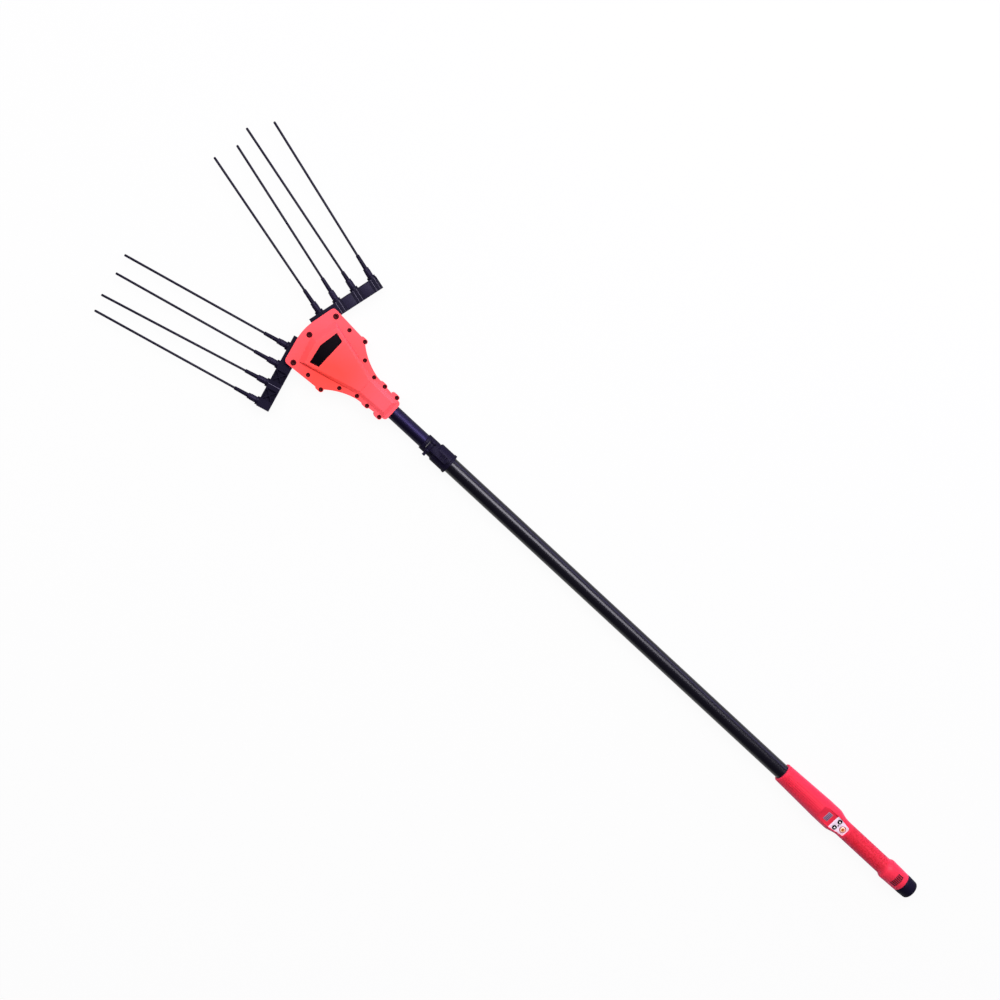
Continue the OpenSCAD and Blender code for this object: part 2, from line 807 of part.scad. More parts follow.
module gearbox() {
  h = gearbox_top - room_floor;
  color(steel) at_nose() translate([0, 0, room_floor]) difference() {
    union() {
      translate([-crank_at - gearbox_l / 2, -gearbox_w / 2, 0]) cube([gearbox_l, gearbox_w, gearbox_flange]);
      translate([-crank_at, 0, 0]) cylinder(d = gearbox_w - 4, h = h);
      translate([-gearbox_rear, 0, motor_z - room_floor]) rotate([0, 90, 0])
        cylinder(d = motor_d * 0.55, h = gearbox_rear - crank_at);
    }
    translate([-crank_at, 0, 3]) cylinder(r = shaft_d / 2 + run_gap, h = far);
    translate([-crank_at, 0, h - 7]) cylinder(d = bearing_d, h = far);
    translate([0, 0, h - gearbox_w]) translate([-far, -far / 2, gearbox_w]) cube([2 * far, far, far]);
    each_gearbox_screw() translate([0, 0, -cut]) cylinder(d = 4, h = far);
  }
}

module gearbox_screws() {
  color(steel) at_nose() each_gearbox_screw() translate([0, 0, room_floor + gearbox_flange])
    socket_screw(7, 3, 4, gearbox_flange + head_wall - 1.5);
}

module output_bearing() {
  color(steel) at_nose() translate([-crank_at, 0, gearbox_top - 7])
    ring(bearing_d / 2, shaft_d / 2 + run_gap, 7);
}

module crank_disc() {
  color(steel) at_nose() translate([-crank_at, 0, 0]) {
    translate([0, 0, room_floor + 3 + face_gap]) cylinder(d = shaft_d, h = disc_z - room_floor - 3);
    difference() {
      translate([0, 0, disc_z]) cylinder(d = crank_d, h = disc_t);
      for (a = [120 : 40 : 240]) translate(concat(on_circle([0, 0], crank_d / 2 - 5, a), disc_z - cut))
        cylinder(d = 6, h = far);
    }
    translate([crank_throw, 0, disc_z]) cylinder(d = stub_d, h = disc_t + stub_l);
  }
}

module gear_motor() {
  color(steel) at_nose() translate([-gearbox_rear, 0, motor_z]) rotate([0, -90, 0]) {
    cylinder(d = motor_d, h = motor_l - 10);
    cylinder(d = motor_d - 6, h = motor_l - 3);
    cylinder(d = motor_d * 0.4, h = motor_l);
  }
}

module pivot_pin(side) {
  color(steel) at_side(side) translate([-pivot_back, pivot_y, -room_h - 2]) difference() {
    cylinder(d = pivot_d, h = room_h + 2 + corner_seat - 3);
    translate([0, 0, room_h + 2]) cylinder(d = corner_screw_d, h = far);
  }
}

module pivot_bush(side) {
  color(bronze) in_comb(side) translate([0, 0, rocker_z]) ring(bush_r, pivot_d / 2 + run_gap, bar_half - rocker_z);
}

module each_rocker_screw() {
  for (w = [-0.42, -0.78]) translate([bar_front * 0.1, w * (first_tine + bar_inner), 0]) children();
}

module rocker(side) {
  color(steel) in_comb(side) translate([0, 0, rocker_z]) difference() {
    hull() {
      cylinder(r = boss_r - 1, h = rocker_t);
      translate([0, -0.86 * (first_tine + bar_inner), 0]) cylinder(r = 6.5, h = rocker_t);
      translate([-arm_back, -arm_in, 0]) cylinder(d = rod_pin_d + 9, h = rocker_t);
    }
    translate([0, 0, -cut]) cylinder(r = bush_r, h = far);
    translate([-arm_back, -arm_in, -cut]) cylinder(d = rod_pin_d, h = far);
    translate([-arm_back * 0.55, -arm_in * 0.62, -cut]) cylinder(d = arm_back * 0.4, h = far);
    each_rocker_screw() translate([0, 0, -cut]) cylinder(d = 5, h = far);
    each_rocker_screw() cylinder(d1 = 9, d2 = 5, h = rocker_t * 0.8);
  }
}

module rocker_screws(side) {
  color(steel) in_comb(side) each_rocker_screw() translate([0, 0, rocker_z]) {
    cylinder(d1 = 9, d2 = 5, h = rocker_t * 0.8);
    cylinder(d = 5, h = rocker_t + bar_h - 4);
  }
}

module rod_pin(side) {
  top = rod_z[side > 0 ? 0 : 1] + rod_t + 0.2;
  color(steel) in_comb(side) translate([-arm_back, -arm_in, rocker_z]) {
    cylinder(d = rod_pin_d, h = top - rocker_z);
    translate([0, 0, top - rocker_z]) cylinder(d = rod_pin_d + 4, h = 1.2);
  }
}

module connecting_rod(side) {
  big_d = stub_d + 10;
  small_d = rod_pin_d + 8;
  color(steel) at_side(side) translate([crank_eye[0], crank_eye[1], rod_z[side > 0 ? 0 : 1]]) rotate(rod_turn) difference() {
    union() {
      cylinder(d = big_d, h = rod_t);
      translate([rod_l, 0, 0]) cylinder(d = small_d, h = rod_t);
      linear_extrude(rod_t) polygon([[0, -6.5], [rod_l, -4.5], [rod_l, 4.5], [0, 6.5]]);
    }
    translate([0, 0, -cut]) cylinder(d = stub_d + 0.4, h = far);
    translate([rod_l, 0, -cut]) cylinder(r = rod_pin_d / 2 + run_gap, h = far);
    for (z = [rod_t - 1, 1 - far]) translate([big_d / 2 + 2, -2, z]) cube([rod_l - big_d / 2 - small_d / 2 - 4, 4, far]);
  }
}

// Combs: one moulding with plain panels on one face and crossed ribs on the other
module bar_pocket(i) {
  gap = tine_pitch - boss_d - 1;
  rim = 3;
  deep = bar_half - 2;
  l = bar_w - 2 * rim;
  translate([bar_rear + rim, tine_y(i) + boss_d / 2 + 0.5, bar_half - deep]) difference() {
    cube([l, gap, far]);
    for (a = [1, -1]) translate([l / 2, gap / 2, 0]) rotate(a * atan2(gap, l))
      translate([-far / 2, -0.9, -cut]) cube([far, 1.8, deep]);
  }
}

module bar_panel(i) {
  translate([bar_rear + 1.5, tine_y(i) + boss_d / 2 + 0.5, -far - bar_half + 1])
    cube([bar_w - 3, tine_pitch - boss_d - 1, far]);
}

module comb_bar(side) {
  color(black) in_comb(side) mirror([0, 0, side < 0 ? 1 : 0]) difference() {
    union() {
      translate([bar_rear, bar_in_end, -bar_half]) cube([bar_w, bar_out_end - bar_in_end, bar_h]);
      translate([0, 0, -bar_half]) cylinder(r = boss_r, h = bar_h);
      for (i = [0 : tines - 1]) at_tine(side, i) translate([0, 0, -cut]) cylinder(d = boss_d, h = boss_l + cut);
    }
    for (i = [1 : tines - 2]) {
      bar_pocket(i);
      bar_panel(i);
    }
    for (i = [0 : tines - 1], k = [-1, 1]) translate([bar_rear - cut, tine_y(i) + k * 4 - 0.7, -far - bar_half + 1])
      cube([bar_w + 2 * cut, 1.4, far]);
    for (i = [0 : tines - 1]) at_tine(side, i) translate([0, 0, -tine_seat - tine_spare(i)])
      cylinder(d = tine_d, h = far);
    translate([0, 0, -far / 2]) cylinder(r = bush_r, h = far);
    each_rocker_screw() translate([0, 0, -far / 2]) cylinder(d = 5, h = far);
  }
}

module tine(side, i) {
  out = tine_out(side, i);
  l = tine_seat + tine_reach;
  color(black) in_comb(side) at_tine(side, i) translate([0, 0, out - tine_seat]) {
    cylinder(d = tine_d, h = l - 1);
    cylinder(d = tine_d - 1, h = l);
  }
}

module tine_nuts(side) {
  color(black) in_comb(side) for (i = [0 : tines - 1])
    at_tine(side, i) translate([0, 0, boss_l]) difference() {
      union() {
        cylinder(d = nut_af / cos(30), h = nut_l * 0.7, $fn = 6);
        cylinder(d = nut_af - 0.6, h = nut_l);
      }
      translate([0, 0, -cut]) cylinder(d = tine_d, h = far);
    }
}

module tine_sleeves(side) {
  color(black) in_comb(side) for (i = [0 : tines - 1])
    at_tine(side, i) translate([0, 0, boss_l + nut_l]) difference() {
      cylinder(d1 = sleeve_d, d2 = sleeve_tip_d, h = sleeve_l - max(tine_out(side, i), 0) * 0.8);
      translate([0, 0, -cut]) cylinder(d = tine_d, h = far);
    }
}

// Handle
function slope_curve(n) = [for (i = [0 : n]) [
  grip_front + slope_l * i / n,
  grip_r + (barrel_r - grip_r) * ease(pow(i / n, 1.6))
]];
function flare_curve(n) = [for (i = [0 : n]) [
  grip_rear - flare_curve_l * (1 - i / n),
  flare_r + (grip_r - flare_r) * ease(i / n)
]];
function handle_curve() = concat(
  [[cap_l, cap_r]],
  flare_curve(6),
  slope_curve(10),
  [[barrel_front, barrel_r], [mouth_x - 1.5, mouth_r], [mouth_x, mouth_r - 1.5]]
);

// Round body of the handle drawn in by d
module handle_round(d) {
  rotate([0, 90, 0]) rotate_extrude() polygon(concat(
    [[0, cap_l]],
    [for (p = handle_curve()) [p[1] - d, p[0]]],
    [[0, mouth_x]]
  ));
}

// Sunk field for display and panel, with its floor lowered and its sides moved out by d
module handle_field(d) {
  intersection() {
    translate([0, far / 2, 0]) rotate([90, 0, 0]) linear_extrude(far) polygon(concat(
      [[panel_rear - pocket_gap - d, far]],
      top_edge([
        [panel_rear - pocket_gap - d, panel_z_rear],
        [panel_front, panel_z_front],
        [facet_front + d, facet_h]
      ], d),
      [[facet_front + d, far]]
    ));
    linear_extrude(far) union() {
      translate([panel_rear, 0]) panel_plan(pocket_gap + d);
      translate([panel_front - pocket_gap, -facet_half - d]) square([facet_l + pocket_gap + d, 2 * (facet_half + d)]);
    }
  }
}

module handle_form(d) {
  difference() {
    handle_round(d);
    handle_field(d);
  }
}

module handle_room() {
  intersection() {
    handle_form(shell_wall);
    translate([0, -far / 2, -far / 2]) cube([cavity_front, far, far]);
  }
}

function panel_outline(d) = both_sides(concat(
  arc([panel_round, panel_half_rear - panel_round], panel_round + d, 180, 90, 6),
  [[panel_l - 0.6, panel_half_front + d], [panel_l + d, panel_half_front + d - 0.6]]
));

module panel_plan(d) {
  polygon(panel_outline(d));
}

module each_button() {
  for (k = [1, -1]) translate([button_at, k * button_out, 0]) children();
}

module handle_body() {
  difference() {
    handle_form(0);
    difference() {
      handle_room();
      for (x = handle_screw) translate([x, 0, -far / 2]) cylinder(d = handle_boss_d, h = far);
    }
    along_x(mouth_x - handle_seat) cylinder(r = outer_r + run_gap, h = handle_seat + cut);
    along_x(cavity_front - cut) cylinder(r = outer_r - tube_wall - 4, h = 20);
  }
}

module vent_slots() {
  for (i = [0 : vents - 1]) translate([vent_at, (i - (vents - 1) / 2) * vent_pitch - vent_w / 2, shell_wall])
    cube([vent_l, vent_w, far]);
}

// Sunk ribs that cross the vent slots
module vent_bars() {
  intersection() {
    handle_round(vent_rib_deep);
    for (k = [1 : vent_ribs]) translate([vent_at + vent_l * k / (vent_ribs + 1) - vent_rib / 2, -far / 2, 0])
      cube([vent_rib, far, far]);
  }
}

// Grooves along the taper, which follow its slope
module taper_grooves() {
  start = facet_front + groove_end / 2;
  slope = atan2(barrel_r - mouth_r, taper_l);
  start_r = barrel_r - (start - barrel_front) * tan(slope);
  for (i = [0 : groove_count - 1]) rotate([(i - (groove_count - 1) / 2) * atan2(groove_pitch, start_r), 0, 0])
    translate([start, -groove_w / 2, start_r - groove_deep]) rotate([0, slope, 0])
      cube([mouth_x - groove_end - start, groove_w, groove_deep + 2]);
}

module handle_top_shell() {
  color(crimson) in_handle() difference() {
    union() {
      intersection() {
        handle_body();
        translate([0, -far / 2, 0]) cube([mouth_x, far, far]);
      }
      on_panel() for (i = [-1, 1], j = [-1, 1])
        translate([board_at + i * (board_l / 2 - 4), j * (board_w / 2 - 3.5), board_z])
          cylinder(d = post_d, h = -board_z - shell_wall + 1);
    }
    on_panel() {
      translate([0, 0, panel_proud - panel_t]) linear_extrude(far) panel_plan(0.05);
      each_button() translate([0, 0, -far / 2]) cylinder(r = button_d / 2 + button_gap, h = far);
      translate([power_at, 0, -far / 2]) cylinder(r = power_d / 2 + button_gap, h = far);
      translate([led_at, 0, -far / 2]) cylinder(d = led_d, h = far);
    }
    on_facet() translate([display_at - display_l / 2, -display_w / 2, panel_proud - display_t])
      cube([display_l, display_w, far]);
    for (x = handle_screw) translate([x, 0, -cut]) cylinder(d = handle_screw_d, h = 9 + cut);
    difference() {
      vent_slots();
      vent_bars();
    }
    taper_grooves();
  }
}

module handle_bottom_shell() {
  color(crimson) in_handle() difference() {
    intersection() {
      handle_body();
      translate([0, -far / 2, -far]) cube([mouth_x, far, far]);
    }
    for (x = handle_screw) {
      translate([x, 0, -far / 2]) cylinder(d = handle_screw_d, h = far);
      translate([x, 0, -far]) cylinder(d = handle_head_d + 0.6, h = far - grip_r + handle_head_h + 2);
    }
  }
}

module handle_screws() {
  color(steel) in_handle() for (x = handle_screw) translate([x, 0, -grip_r + handle_head_h + 2]) mirror([0, 0, 1])
    socket_screw(handle_head_d, handle_head_h, handle_screw_d, grip_r - handle_head_h - 2 + 8);
}

module control_panel() {
  color([0.96, 0.9, 0.94]) in_handle() on_panel() difference() {
    translate([0, 0, panel_proud - panel_t]) linear_extrude(panel_t) panel_plan(0);
    each_button() translate([0, 0, -far / 2]) cylinder(r = button_d / 2 + button_gap, h = far);
    translate([power_at, 0, -far / 2]) cylinder(r = power_d / 2 + button_gap, h = far);
    translate([led_at, 0, -far / 2]) cylinder(d = led_d, h = far);
  }
}

// A button with a crowned top, a lip under the shell and a stem over its switch
module button(d, proud) {
  top = panel_proud + proud;
  crown = 0.8;
  rotate_extrude() polygon([
    [0, stem_z],
    [stem_d / 2, stem_z],
    [stem_d / 2, lip_z - 0.1],
    [d / 2 + 1, lip_z - 0.1],
    [d / 2 + 1, lip_z + button_lip - 0.1],
    [d / 2, lip_z + button_lip - 0.1],
    [d / 2, top - crown],
    [d / 2 - crown * 0.4, top - crown * 0.4],
    [d / 2 - crown, top],
    [0, top]
  ]);
}

module power_button() {
  color([0.95, 0.5, 0.15]) in_handle() on_panel() translate([power_at, 0, 0]) button(power_d, button_proud[0]);
}

module faster_button() {
  color(black) in_handle() on_panel() translate([button_at, -button_out, 0]) button(button_d, button_proud[1]);
}

module slower_button() {
  color(black) in_handle() on_panel() translate([button_at, button_out, 0]) button(button_d, button_proud[1]);
}

module indicator_led() {
  color([0.3, 0.05, 0.08]) in_handle() on_panel() translate([led_at, 0, -shell_wall - 1]) {
    cylinder(d = led_d, h = shell_wall + 1 + panel_proud);
    translate([0, 0, shell_wall + 1 + panel_proud]) cylinder(d1 = led_d, d2 = led_d * 0.6, h = 0.5);
  }
}

module display_window() {
  color([0.6, 0.58, 0.7]) in_handle() on_facet() translate([display_at, 0, panel_proud - display_t])
    translate([-display_l / 2, -display_w / 2, 0]) cube([display_l, display_w, display_t]);
}

module control_board() {
  color([0.1, 0.4, 0.2]) in_handle() on_panel() translate([board_at - board_l / 2, -board_w / 2, board_z - board_t])
    cube([board_l, board_w, board_t]);
}

module switch() {
  translate([-switch_w / 2, -switch_w / 2, board_z]) cube([switch_w, switch_w, switch_h]);
  translate([0, 0, board_z + switch_h - cut]) cylinder(d = stem_d - 1, h = cut + stem_z - button_travel - 0.1 - board_z - switch_h);
}

module button_switches() {
  color([0.2, 0.2, 0.22]) in_handle() on_panel() {
    each_button() switch();
    translate([power_at, 0, 0]) switch();
  }
}

module end_cap() {
  color(black) in_handle() rotate([0, 90, 0]) difference() {
    union() {
      rotate_extrude() polygon(concat(
        [[0, 0]],
        arc([cap_r - 1 - cap_round, cap_round], cap_round, -90, 0, 8),
        [[cap_r, cap_l * 0.7], [cap_r, cap_l], [0, cap_l]]
      ));
      translate([0, 0, cap_l - cut]) cylinder(r = cap_r - shell_wall - spigot_gap, h = spigot_l + cut);
    }
    translate([0, 0, -cut]) cylinder(d = socket_d + 4, h = socket_l + 2 + cut);
    translate([0, 0, socket_l + 2 - cut]) cylinder(d = socket_d - 2, h = far);
  }
}

module power_socket() {
  color([0.2, 0.2, 0.22]) in_handle() rotate([0, 90, 0]) difference() {
    cylinder(d = socket_d + 4, h = socket_l + 2);
    translate([0, 0, -cut]) cylinder(d = socket_d, h = socket_l + cut);
    for (k = [-1, 1]) translate([k * socket_d / 4 - 1, -2, socket_l - cut]) cube([2, 4, far]);
  }
}

module socket_contacts() {
  color(brass) in_handle() rotate([0, 90, 0])
    for (k = [-1, 1]) translate([k * socket_d / 4 - 1, -2, socket_l]) cube([2, 4, 2]);
}

place() outer_tube();
place() inner_tube();
place() tube_guide_bush();
place() clamp_body();
place() clamp_lever();
place() clamp_pin();
place() clamp_pad();
place() handle_top_shell();
place() handle_bottom_shell();
place() handle_screws();
place() control_panel();
place() power_button();
place() faster_button();
place() slower_button();
place() indicator_led();
place() display_window();
place() control_board();
place() button_switches();
place() end_cap();
place() power_socket();
place() socket_contacts();
place() head_cover();
place() head_base();
place() cover_screws();
place() corner_screws();
place() badge_plate();
place() gear_motor();
place() gearbox();
place() gearbox_screws();
place() output_bearing();
place() crank_disc();
for (side = [1, -1]) {
  s = side > 0 ? SIDES[0] : SIDES[1];
  place() pivot_pin(side);
  place() pivot_bush(side);
  place() rocker(side);
  place() rocker_screws(side);
  place() rod_pin(side);
  place() connecting_rod(side);
  place() comb_bar(side);
  place() tine_nuts(side);
  place() tine_sleeves(side);
  for (i = [0 : tines - 1])
    place() tine(side, i);
}
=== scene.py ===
import json
import math

import bpy
from mathutils import Matrix, Vector


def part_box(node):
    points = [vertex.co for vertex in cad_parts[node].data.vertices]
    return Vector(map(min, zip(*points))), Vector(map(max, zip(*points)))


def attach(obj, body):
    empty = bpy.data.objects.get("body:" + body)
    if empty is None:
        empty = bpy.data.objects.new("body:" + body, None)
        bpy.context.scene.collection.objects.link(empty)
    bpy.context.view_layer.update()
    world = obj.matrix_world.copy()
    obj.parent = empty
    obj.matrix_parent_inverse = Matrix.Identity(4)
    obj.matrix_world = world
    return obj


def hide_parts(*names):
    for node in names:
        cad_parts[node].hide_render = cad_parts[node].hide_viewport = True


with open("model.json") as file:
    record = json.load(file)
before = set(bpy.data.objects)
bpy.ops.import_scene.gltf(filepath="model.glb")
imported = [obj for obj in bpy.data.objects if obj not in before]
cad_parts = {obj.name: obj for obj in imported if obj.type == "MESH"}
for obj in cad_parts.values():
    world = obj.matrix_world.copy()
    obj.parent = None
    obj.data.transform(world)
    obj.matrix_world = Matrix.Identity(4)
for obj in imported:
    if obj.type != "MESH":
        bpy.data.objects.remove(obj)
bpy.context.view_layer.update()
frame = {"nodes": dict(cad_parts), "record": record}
nodes = frame["nodes"]
scene = bpy.context.scene
scene.view_settings.view_transform = "Standard"
mm = 0.001
print("frame loaded,", len(nodes), "nodes")

# stations on the handle, in millimetres from its rear end and from the pole's axis
stations = {
    "axisHeight": 27,
    "handleRoll": 10,
    "capFront": 31,
    "gripRear": 88.5,
    "gripFront": 208.5,
    "panelRear": 210.1,
    "panelFront": 251.1,
    "facetFront": 290.6,
    "panelRise": (14.2, 16.6),
    "facetRise": 22.5,
}
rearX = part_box("end_cap")[0].x
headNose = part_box("head_cover")[1].x
axisZ = stations["axisHeight"] * mm

# camera
cameraSetup = {
    "place": (0.68019, -0.04136, 3.35341),
    "right": (-0.72547, -0.68048, 0.10318),
    "up": (0.67227, -0.73273, -0.10566),
    "back": (0.14750, -0.00729, 0.98904),
    "focalPixels": 1600,
    "sensor": 36,
    "imagePixels": 1000,
    "farthest": 50,
}


def makeCamera():
    setup = cameraSetup
    bpy.ops.object.select_all(action="DESELECT")
    bpy.ops.object.camera_add()
    camera = bpy.context.active_object
    camera.name = "photoCamera"
    turn = Matrix((setup["right"], setup["up"], setup["back"])).transposed()
    camera.matrix_world = Matrix.Translation(setup["place"]) @ turn.to_4x4()
    camera.data.sensor_width = setup["sensor"]
    camera.data.sensor_fit = "HORIZONTAL"
    camera.data.lens = setup["sensor"] * setup["focalPixels"] / setup["imagePixels"]
    camera.data.clip_end = setup["farthest"]
    scene.camera = camera


makeCamera()
print("camera placed")


# node helpers: a number sets a socket, anything else is linked to it
def feed(tree, socket, value):
    if isinstance(value, (int, float, tuple)):
        socket.default_value = value
    else:
        tree.links.new(value, socket)


def addMath(tree, operation, a, b=0):
    node = tree.nodes.new("ShaderNodeMath")
    node.operation = operation
    feed(tree, node.inputs[0], a)
    feed(tree, node.inputs[1], b)
    return node.outputs[0]


def addVectorMath(tree, operation, a, b):
    node = tree.nodes.new("ShaderNodeVectorMath")
    node.operation = operation
    feed(tree, node.inputs[0], a)
    feed(tree, node.inputs[1], b)
    return node.outputs


def addSplit(tree, vector):
    node = tree.nodes.new("ShaderNodeSeparateXYZ")
    tree.links.new(vector, node.inputs["Vector"])
    return node.outputs


def addNoise(tree, vector, scale, detail, roughness):
    noise = tree.nodes.new("ShaderNodeTexNoise")
    noise.inputs["Detail"].default_value = detail
    noise.inputs["Roughness"].default_value = roughness
    tree.links.new(vector, noise.inputs["Vector"])
    feed(tree, noise.inputs["Scale"], scale)
    return noise.outputs["Fac"]


def addRange(tree, value, low, high, toLow, toHigh):
    node = tree.nodes.new("ShaderNodeMapRange")
    tree.links.new(value, node.inputs["Value"])
    feed(tree, node.inputs["From Min"], low)
    feed(tree, node.inputs["From Max"], high)
    feed(tree, node.inputs["To Min"], toLow)
    feed(tree, node.inputs["To Max"], toHigh)
    return node.outputs["Result"]


def addTint(tree, factor, dark, light):
    mix = tree.nodes.new("ShaderNodeMix")
    mix.data_type = "RGBA"
    tree.links.new(factor, mix.inputs["Factor"])
    for label, color in (("A", dark), ("B", light)):
        socket = [s for s in mix.inputs if s.name == label and s.type == "RGBA"][0]
        feed(tree, socket, (*color, 1) if isinstance(color, tuple) else color)
    return [s for s in mix.outputs if s.type == "RGBA"][0]


# light
lightSetup = {
    "worldBright": (0.42, 0.4, 0.47),
    "worldDim": (0.15, 0.142, 0.16),
    "worldToward": (0.5, -0.85, 0.1),
    "worldSpan": (-0.5, 0.7),
    "overhead": {
        "size": (5.4, 2.0),
        "place": (0.95, -1.05, 3.1),
        "aim": (0.2, 0, 0),
        "power": 165,
        "color": (1.0, 0.97, 0.95),
        "glossy": False,
        "diffuse": True,
    },
    "sideBox": {
        "size": (4.2, 0.8),
        "place": (0.0, -2.6, 0.66),
        "aim": (0, 0, 0.03),
        "power": 44,
        "color": (0.55, 0.48, 1.0),
        "glossy": True,
        "diffuse": True,
    },
    "keyStrip": {
        "size": (3.66, 1.25),
        "place": (0.67, -1.5, 2.7),
        "aim": (0.67, 0, 0.03),
        "power": 268,
        "color": (0.93, 0.9, 1.0),
        "glossy": True,
        "diffuse": False,
    },
}


def makeAreaLight(name, setup):
    bpy.ops.object.select_all(action="DESELECT")
    bpy.ops.object.light_add(type="AREA", location=setup["place"])
    light = bpy.context.active_object
    light.name = name
    light.data.shape = "RECTANGLE"
    light.data.size, light.data.size_y = setup["size"]
    light.data.energy = setup["power"]
    light.data.color = setup["color"]
    light.visible_glossy = setup["glossy"]
    light.visible_diffuse = setup["diffuse"]
    aim = Vector(setup["aim"]) - Vector(setup["place"])
    light.rotation_euler = aim.to_track_quat("-Z", "Y").to_euler()


def makeWorld():
    world = bpy.data.worlds.new("studioWorld")
    scene.world = world
    world.use_nodes = True
    tree = world.node_tree
    coords = tree.nodes.new("ShaderNodeTexCoord")
    toward = addVectorMath(tree, "DOT_PRODUCT", coords.outputs["Generated"], lightSetup["worldToward"])
    share = addRange(tree, toward["Value"], *lightSetup["worldSpan"], 0, 1)
    color = addTint(tree, share, lightSetup["worldDim"], lightSetup["worldBright"])
    tree.links.new(color, tree.nodes["Background"].inputs["Color"])


makeWorld()
makeAreaLight("overheadLight", lightSetup["overhead"])
makeAreaLight("sideLight", lightSetup["sideBox"])
makeAreaLight("stripLight", lightSetup["keyStrip"])

# floor
floorSetup = {
    "size": 14,
    "drop": 0.0006,
    "color": (0.68, 0.68, 0.69, 1),
    "whiteShare": 0.94,
}


def makeFloor():
    bpy.ops.object.select_all(action="DESELECT")
    bpy.ops.mesh.primitive_plane_add(size=floorSetup["size"], location=(0, 0, -floorSetup["drop"]))
    floor = bpy.context.active_object
    floor.name = "studioFloor"
    bpy.ops.object.transform_apply(location=True)
    material = bpy.data.materials.new("floorPaper")
    material.use_nodes = True
    tree = material.node_tree
    tree.nodes.clear()
    output = tree.nodes.new("ShaderNodeOutputMaterial")
    paper = tree.nodes.new("ShaderNodeBsdfDiffuse")
    paper.inputs["Color"].default_value = floorSetup["color"]
    glow = tree.nodes.new("ShaderNodeEmission")
    path = tree.nodes.new("ShaderNodeLightPath")
    seen = path.outputs["Is Camera Ray"]
    for label in ("Is Glossy Ray", "Is Transmission Ray"):
        seen = addMath(tree, "MAXIMUM", seen, path.outputs[label])
    share = addMath(tree, "MULTIPLY", seen, floorSetup["whiteShare"])
    mix = tree.nodes.new("ShaderNodeMixShader")
    tree.links.new(share, mix.inputs["Fac"])
    tree.links.new(paper.outputs[0], mix.inputs[1])
    tree.links.new(glow.outputs[0], mix.inputs[2])
    tree.links.new(mix.outputs[0], output.inputs["Surface"])
    floor.data.materials.append(material)


makeFloor()
print("stage ready")


# node groups shared by the materials
def newGroup(name, inputs, outputs):
    group = bpy.data.node_groups.new(name, "ShaderNodeTree")
    for label, kind, value in inputs:
        socket = group.interface.new_socket(label, in_out="INPUT", socket_type=kind)
        socket.default_value = value
    for label in outputs:
        group.interface.new_socket(label, in_out="OUTPUT", socket_type="NodeSocketFloat")
    return group, group.nodes.new("NodeGroupInput"), group.nodes.new("NodeGroupOutput")


# moulded skin: scale, detail and roughness of its noises, and the part of their range that is used
mouldNoise = {
    "grainDetail": (2, 0.5),
    "cloudDetail": (3, 0.55),
    "handled": (31, 4, 0.6),
    "span": (0.3, 0.7),
}


def makeMouldGroup():
    group, start, end = newGroup(
        "mouldedSkin",
        [
            ("Vector", "NodeSocketVector", (0, 0, 0)),
            ("Grain Scale", "NodeSocketFloat", 900),
            ("Cloud Scale", "NodeSocketFloat", 9),
            ("Rough Low", "NodeSocketFloat", 0.35),
            ("Rough High", "NodeSocketFloat", 0.5),
        ],
        ["Cloud", "Roughness", "Height"],
    )
    given = start.outputs
    grain = addNoise(group, given["Vector"], given["Grain Scale"], *mouldNoise["grainDetail"])
    cloud = addNoise(group, given["Vector"], given["Cloud Scale"], *mouldNoise["cloudDetail"])
    handled = addNoise(group, given["Vector"], *mouldNoise["handled"])
    rough = addRange(group, handled, *mouldNoise["span"], given["Rough Low"], given["Rough High"])
    group.links.new(addRange(group, cloud, *mouldNoise["span"], 0, 1), end.inputs["Cloud"])
    group.links.new(rough, end.inputs["Roughness"])
    group.links.new(grain, end.inputs["Height"])
    return group


# drawn metal: fine streaks along the piece with a soft smear over them
streakNoise = {
    "streak": (1, 3, 0.6),
    "smear": (14, 3, 0.5),
    "toneSpan": (0.3, 0.7),
    "roughSpan": (0.35, 0.65),
}


def makeStreakGroup():
    group, start, end = newGroup(
        "drawnStreaks",
        [
            ("Vector", "NodeSocketVector", (0, 0, 0)),
            ("Stretch", "NodeSocketVector", (6, 700, 700)),
            ("Rough Low", "NodeSocketFloat", 0.28),
            ("Rough High", "NodeSocketFloat", 0.45),
        ],
        ["Streak", "Roughness", "Height"],
    )
    given = start.outputs
    pulled = addVectorMath(group, "MULTIPLY", given["Vector"], given["Stretch"])
    streak = addNoise(group, pulled["Vector"], *streakNoise["streak"])
    smear = addNoise(group, given["Vector"], *streakNoise["smear"])
    mean = addMath(group, "DIVIDE", addMath(group, "ADD", streak, smear), 2)
    rough = addRange(group, mean, *streakNoise["roughSpan"], given["Rough Low"], given["Rough High"])
    group.links.new(addRange(group, streak, *streakNoise["toneSpan"], 0, 1), end.inputs["Streak"])
    group.links.new(rough, end.inputs["Roughness"])
    group.links.new(streak, end.inputs["Height"])
    return group


# pebbled grip between two stations
gripNoise = {
    "mottle": (340, 2, 0.5),
    "mottleSpan": (0.35, 0.65),
    "fade": 0.006,
    "pebbleDepth": 3,
}


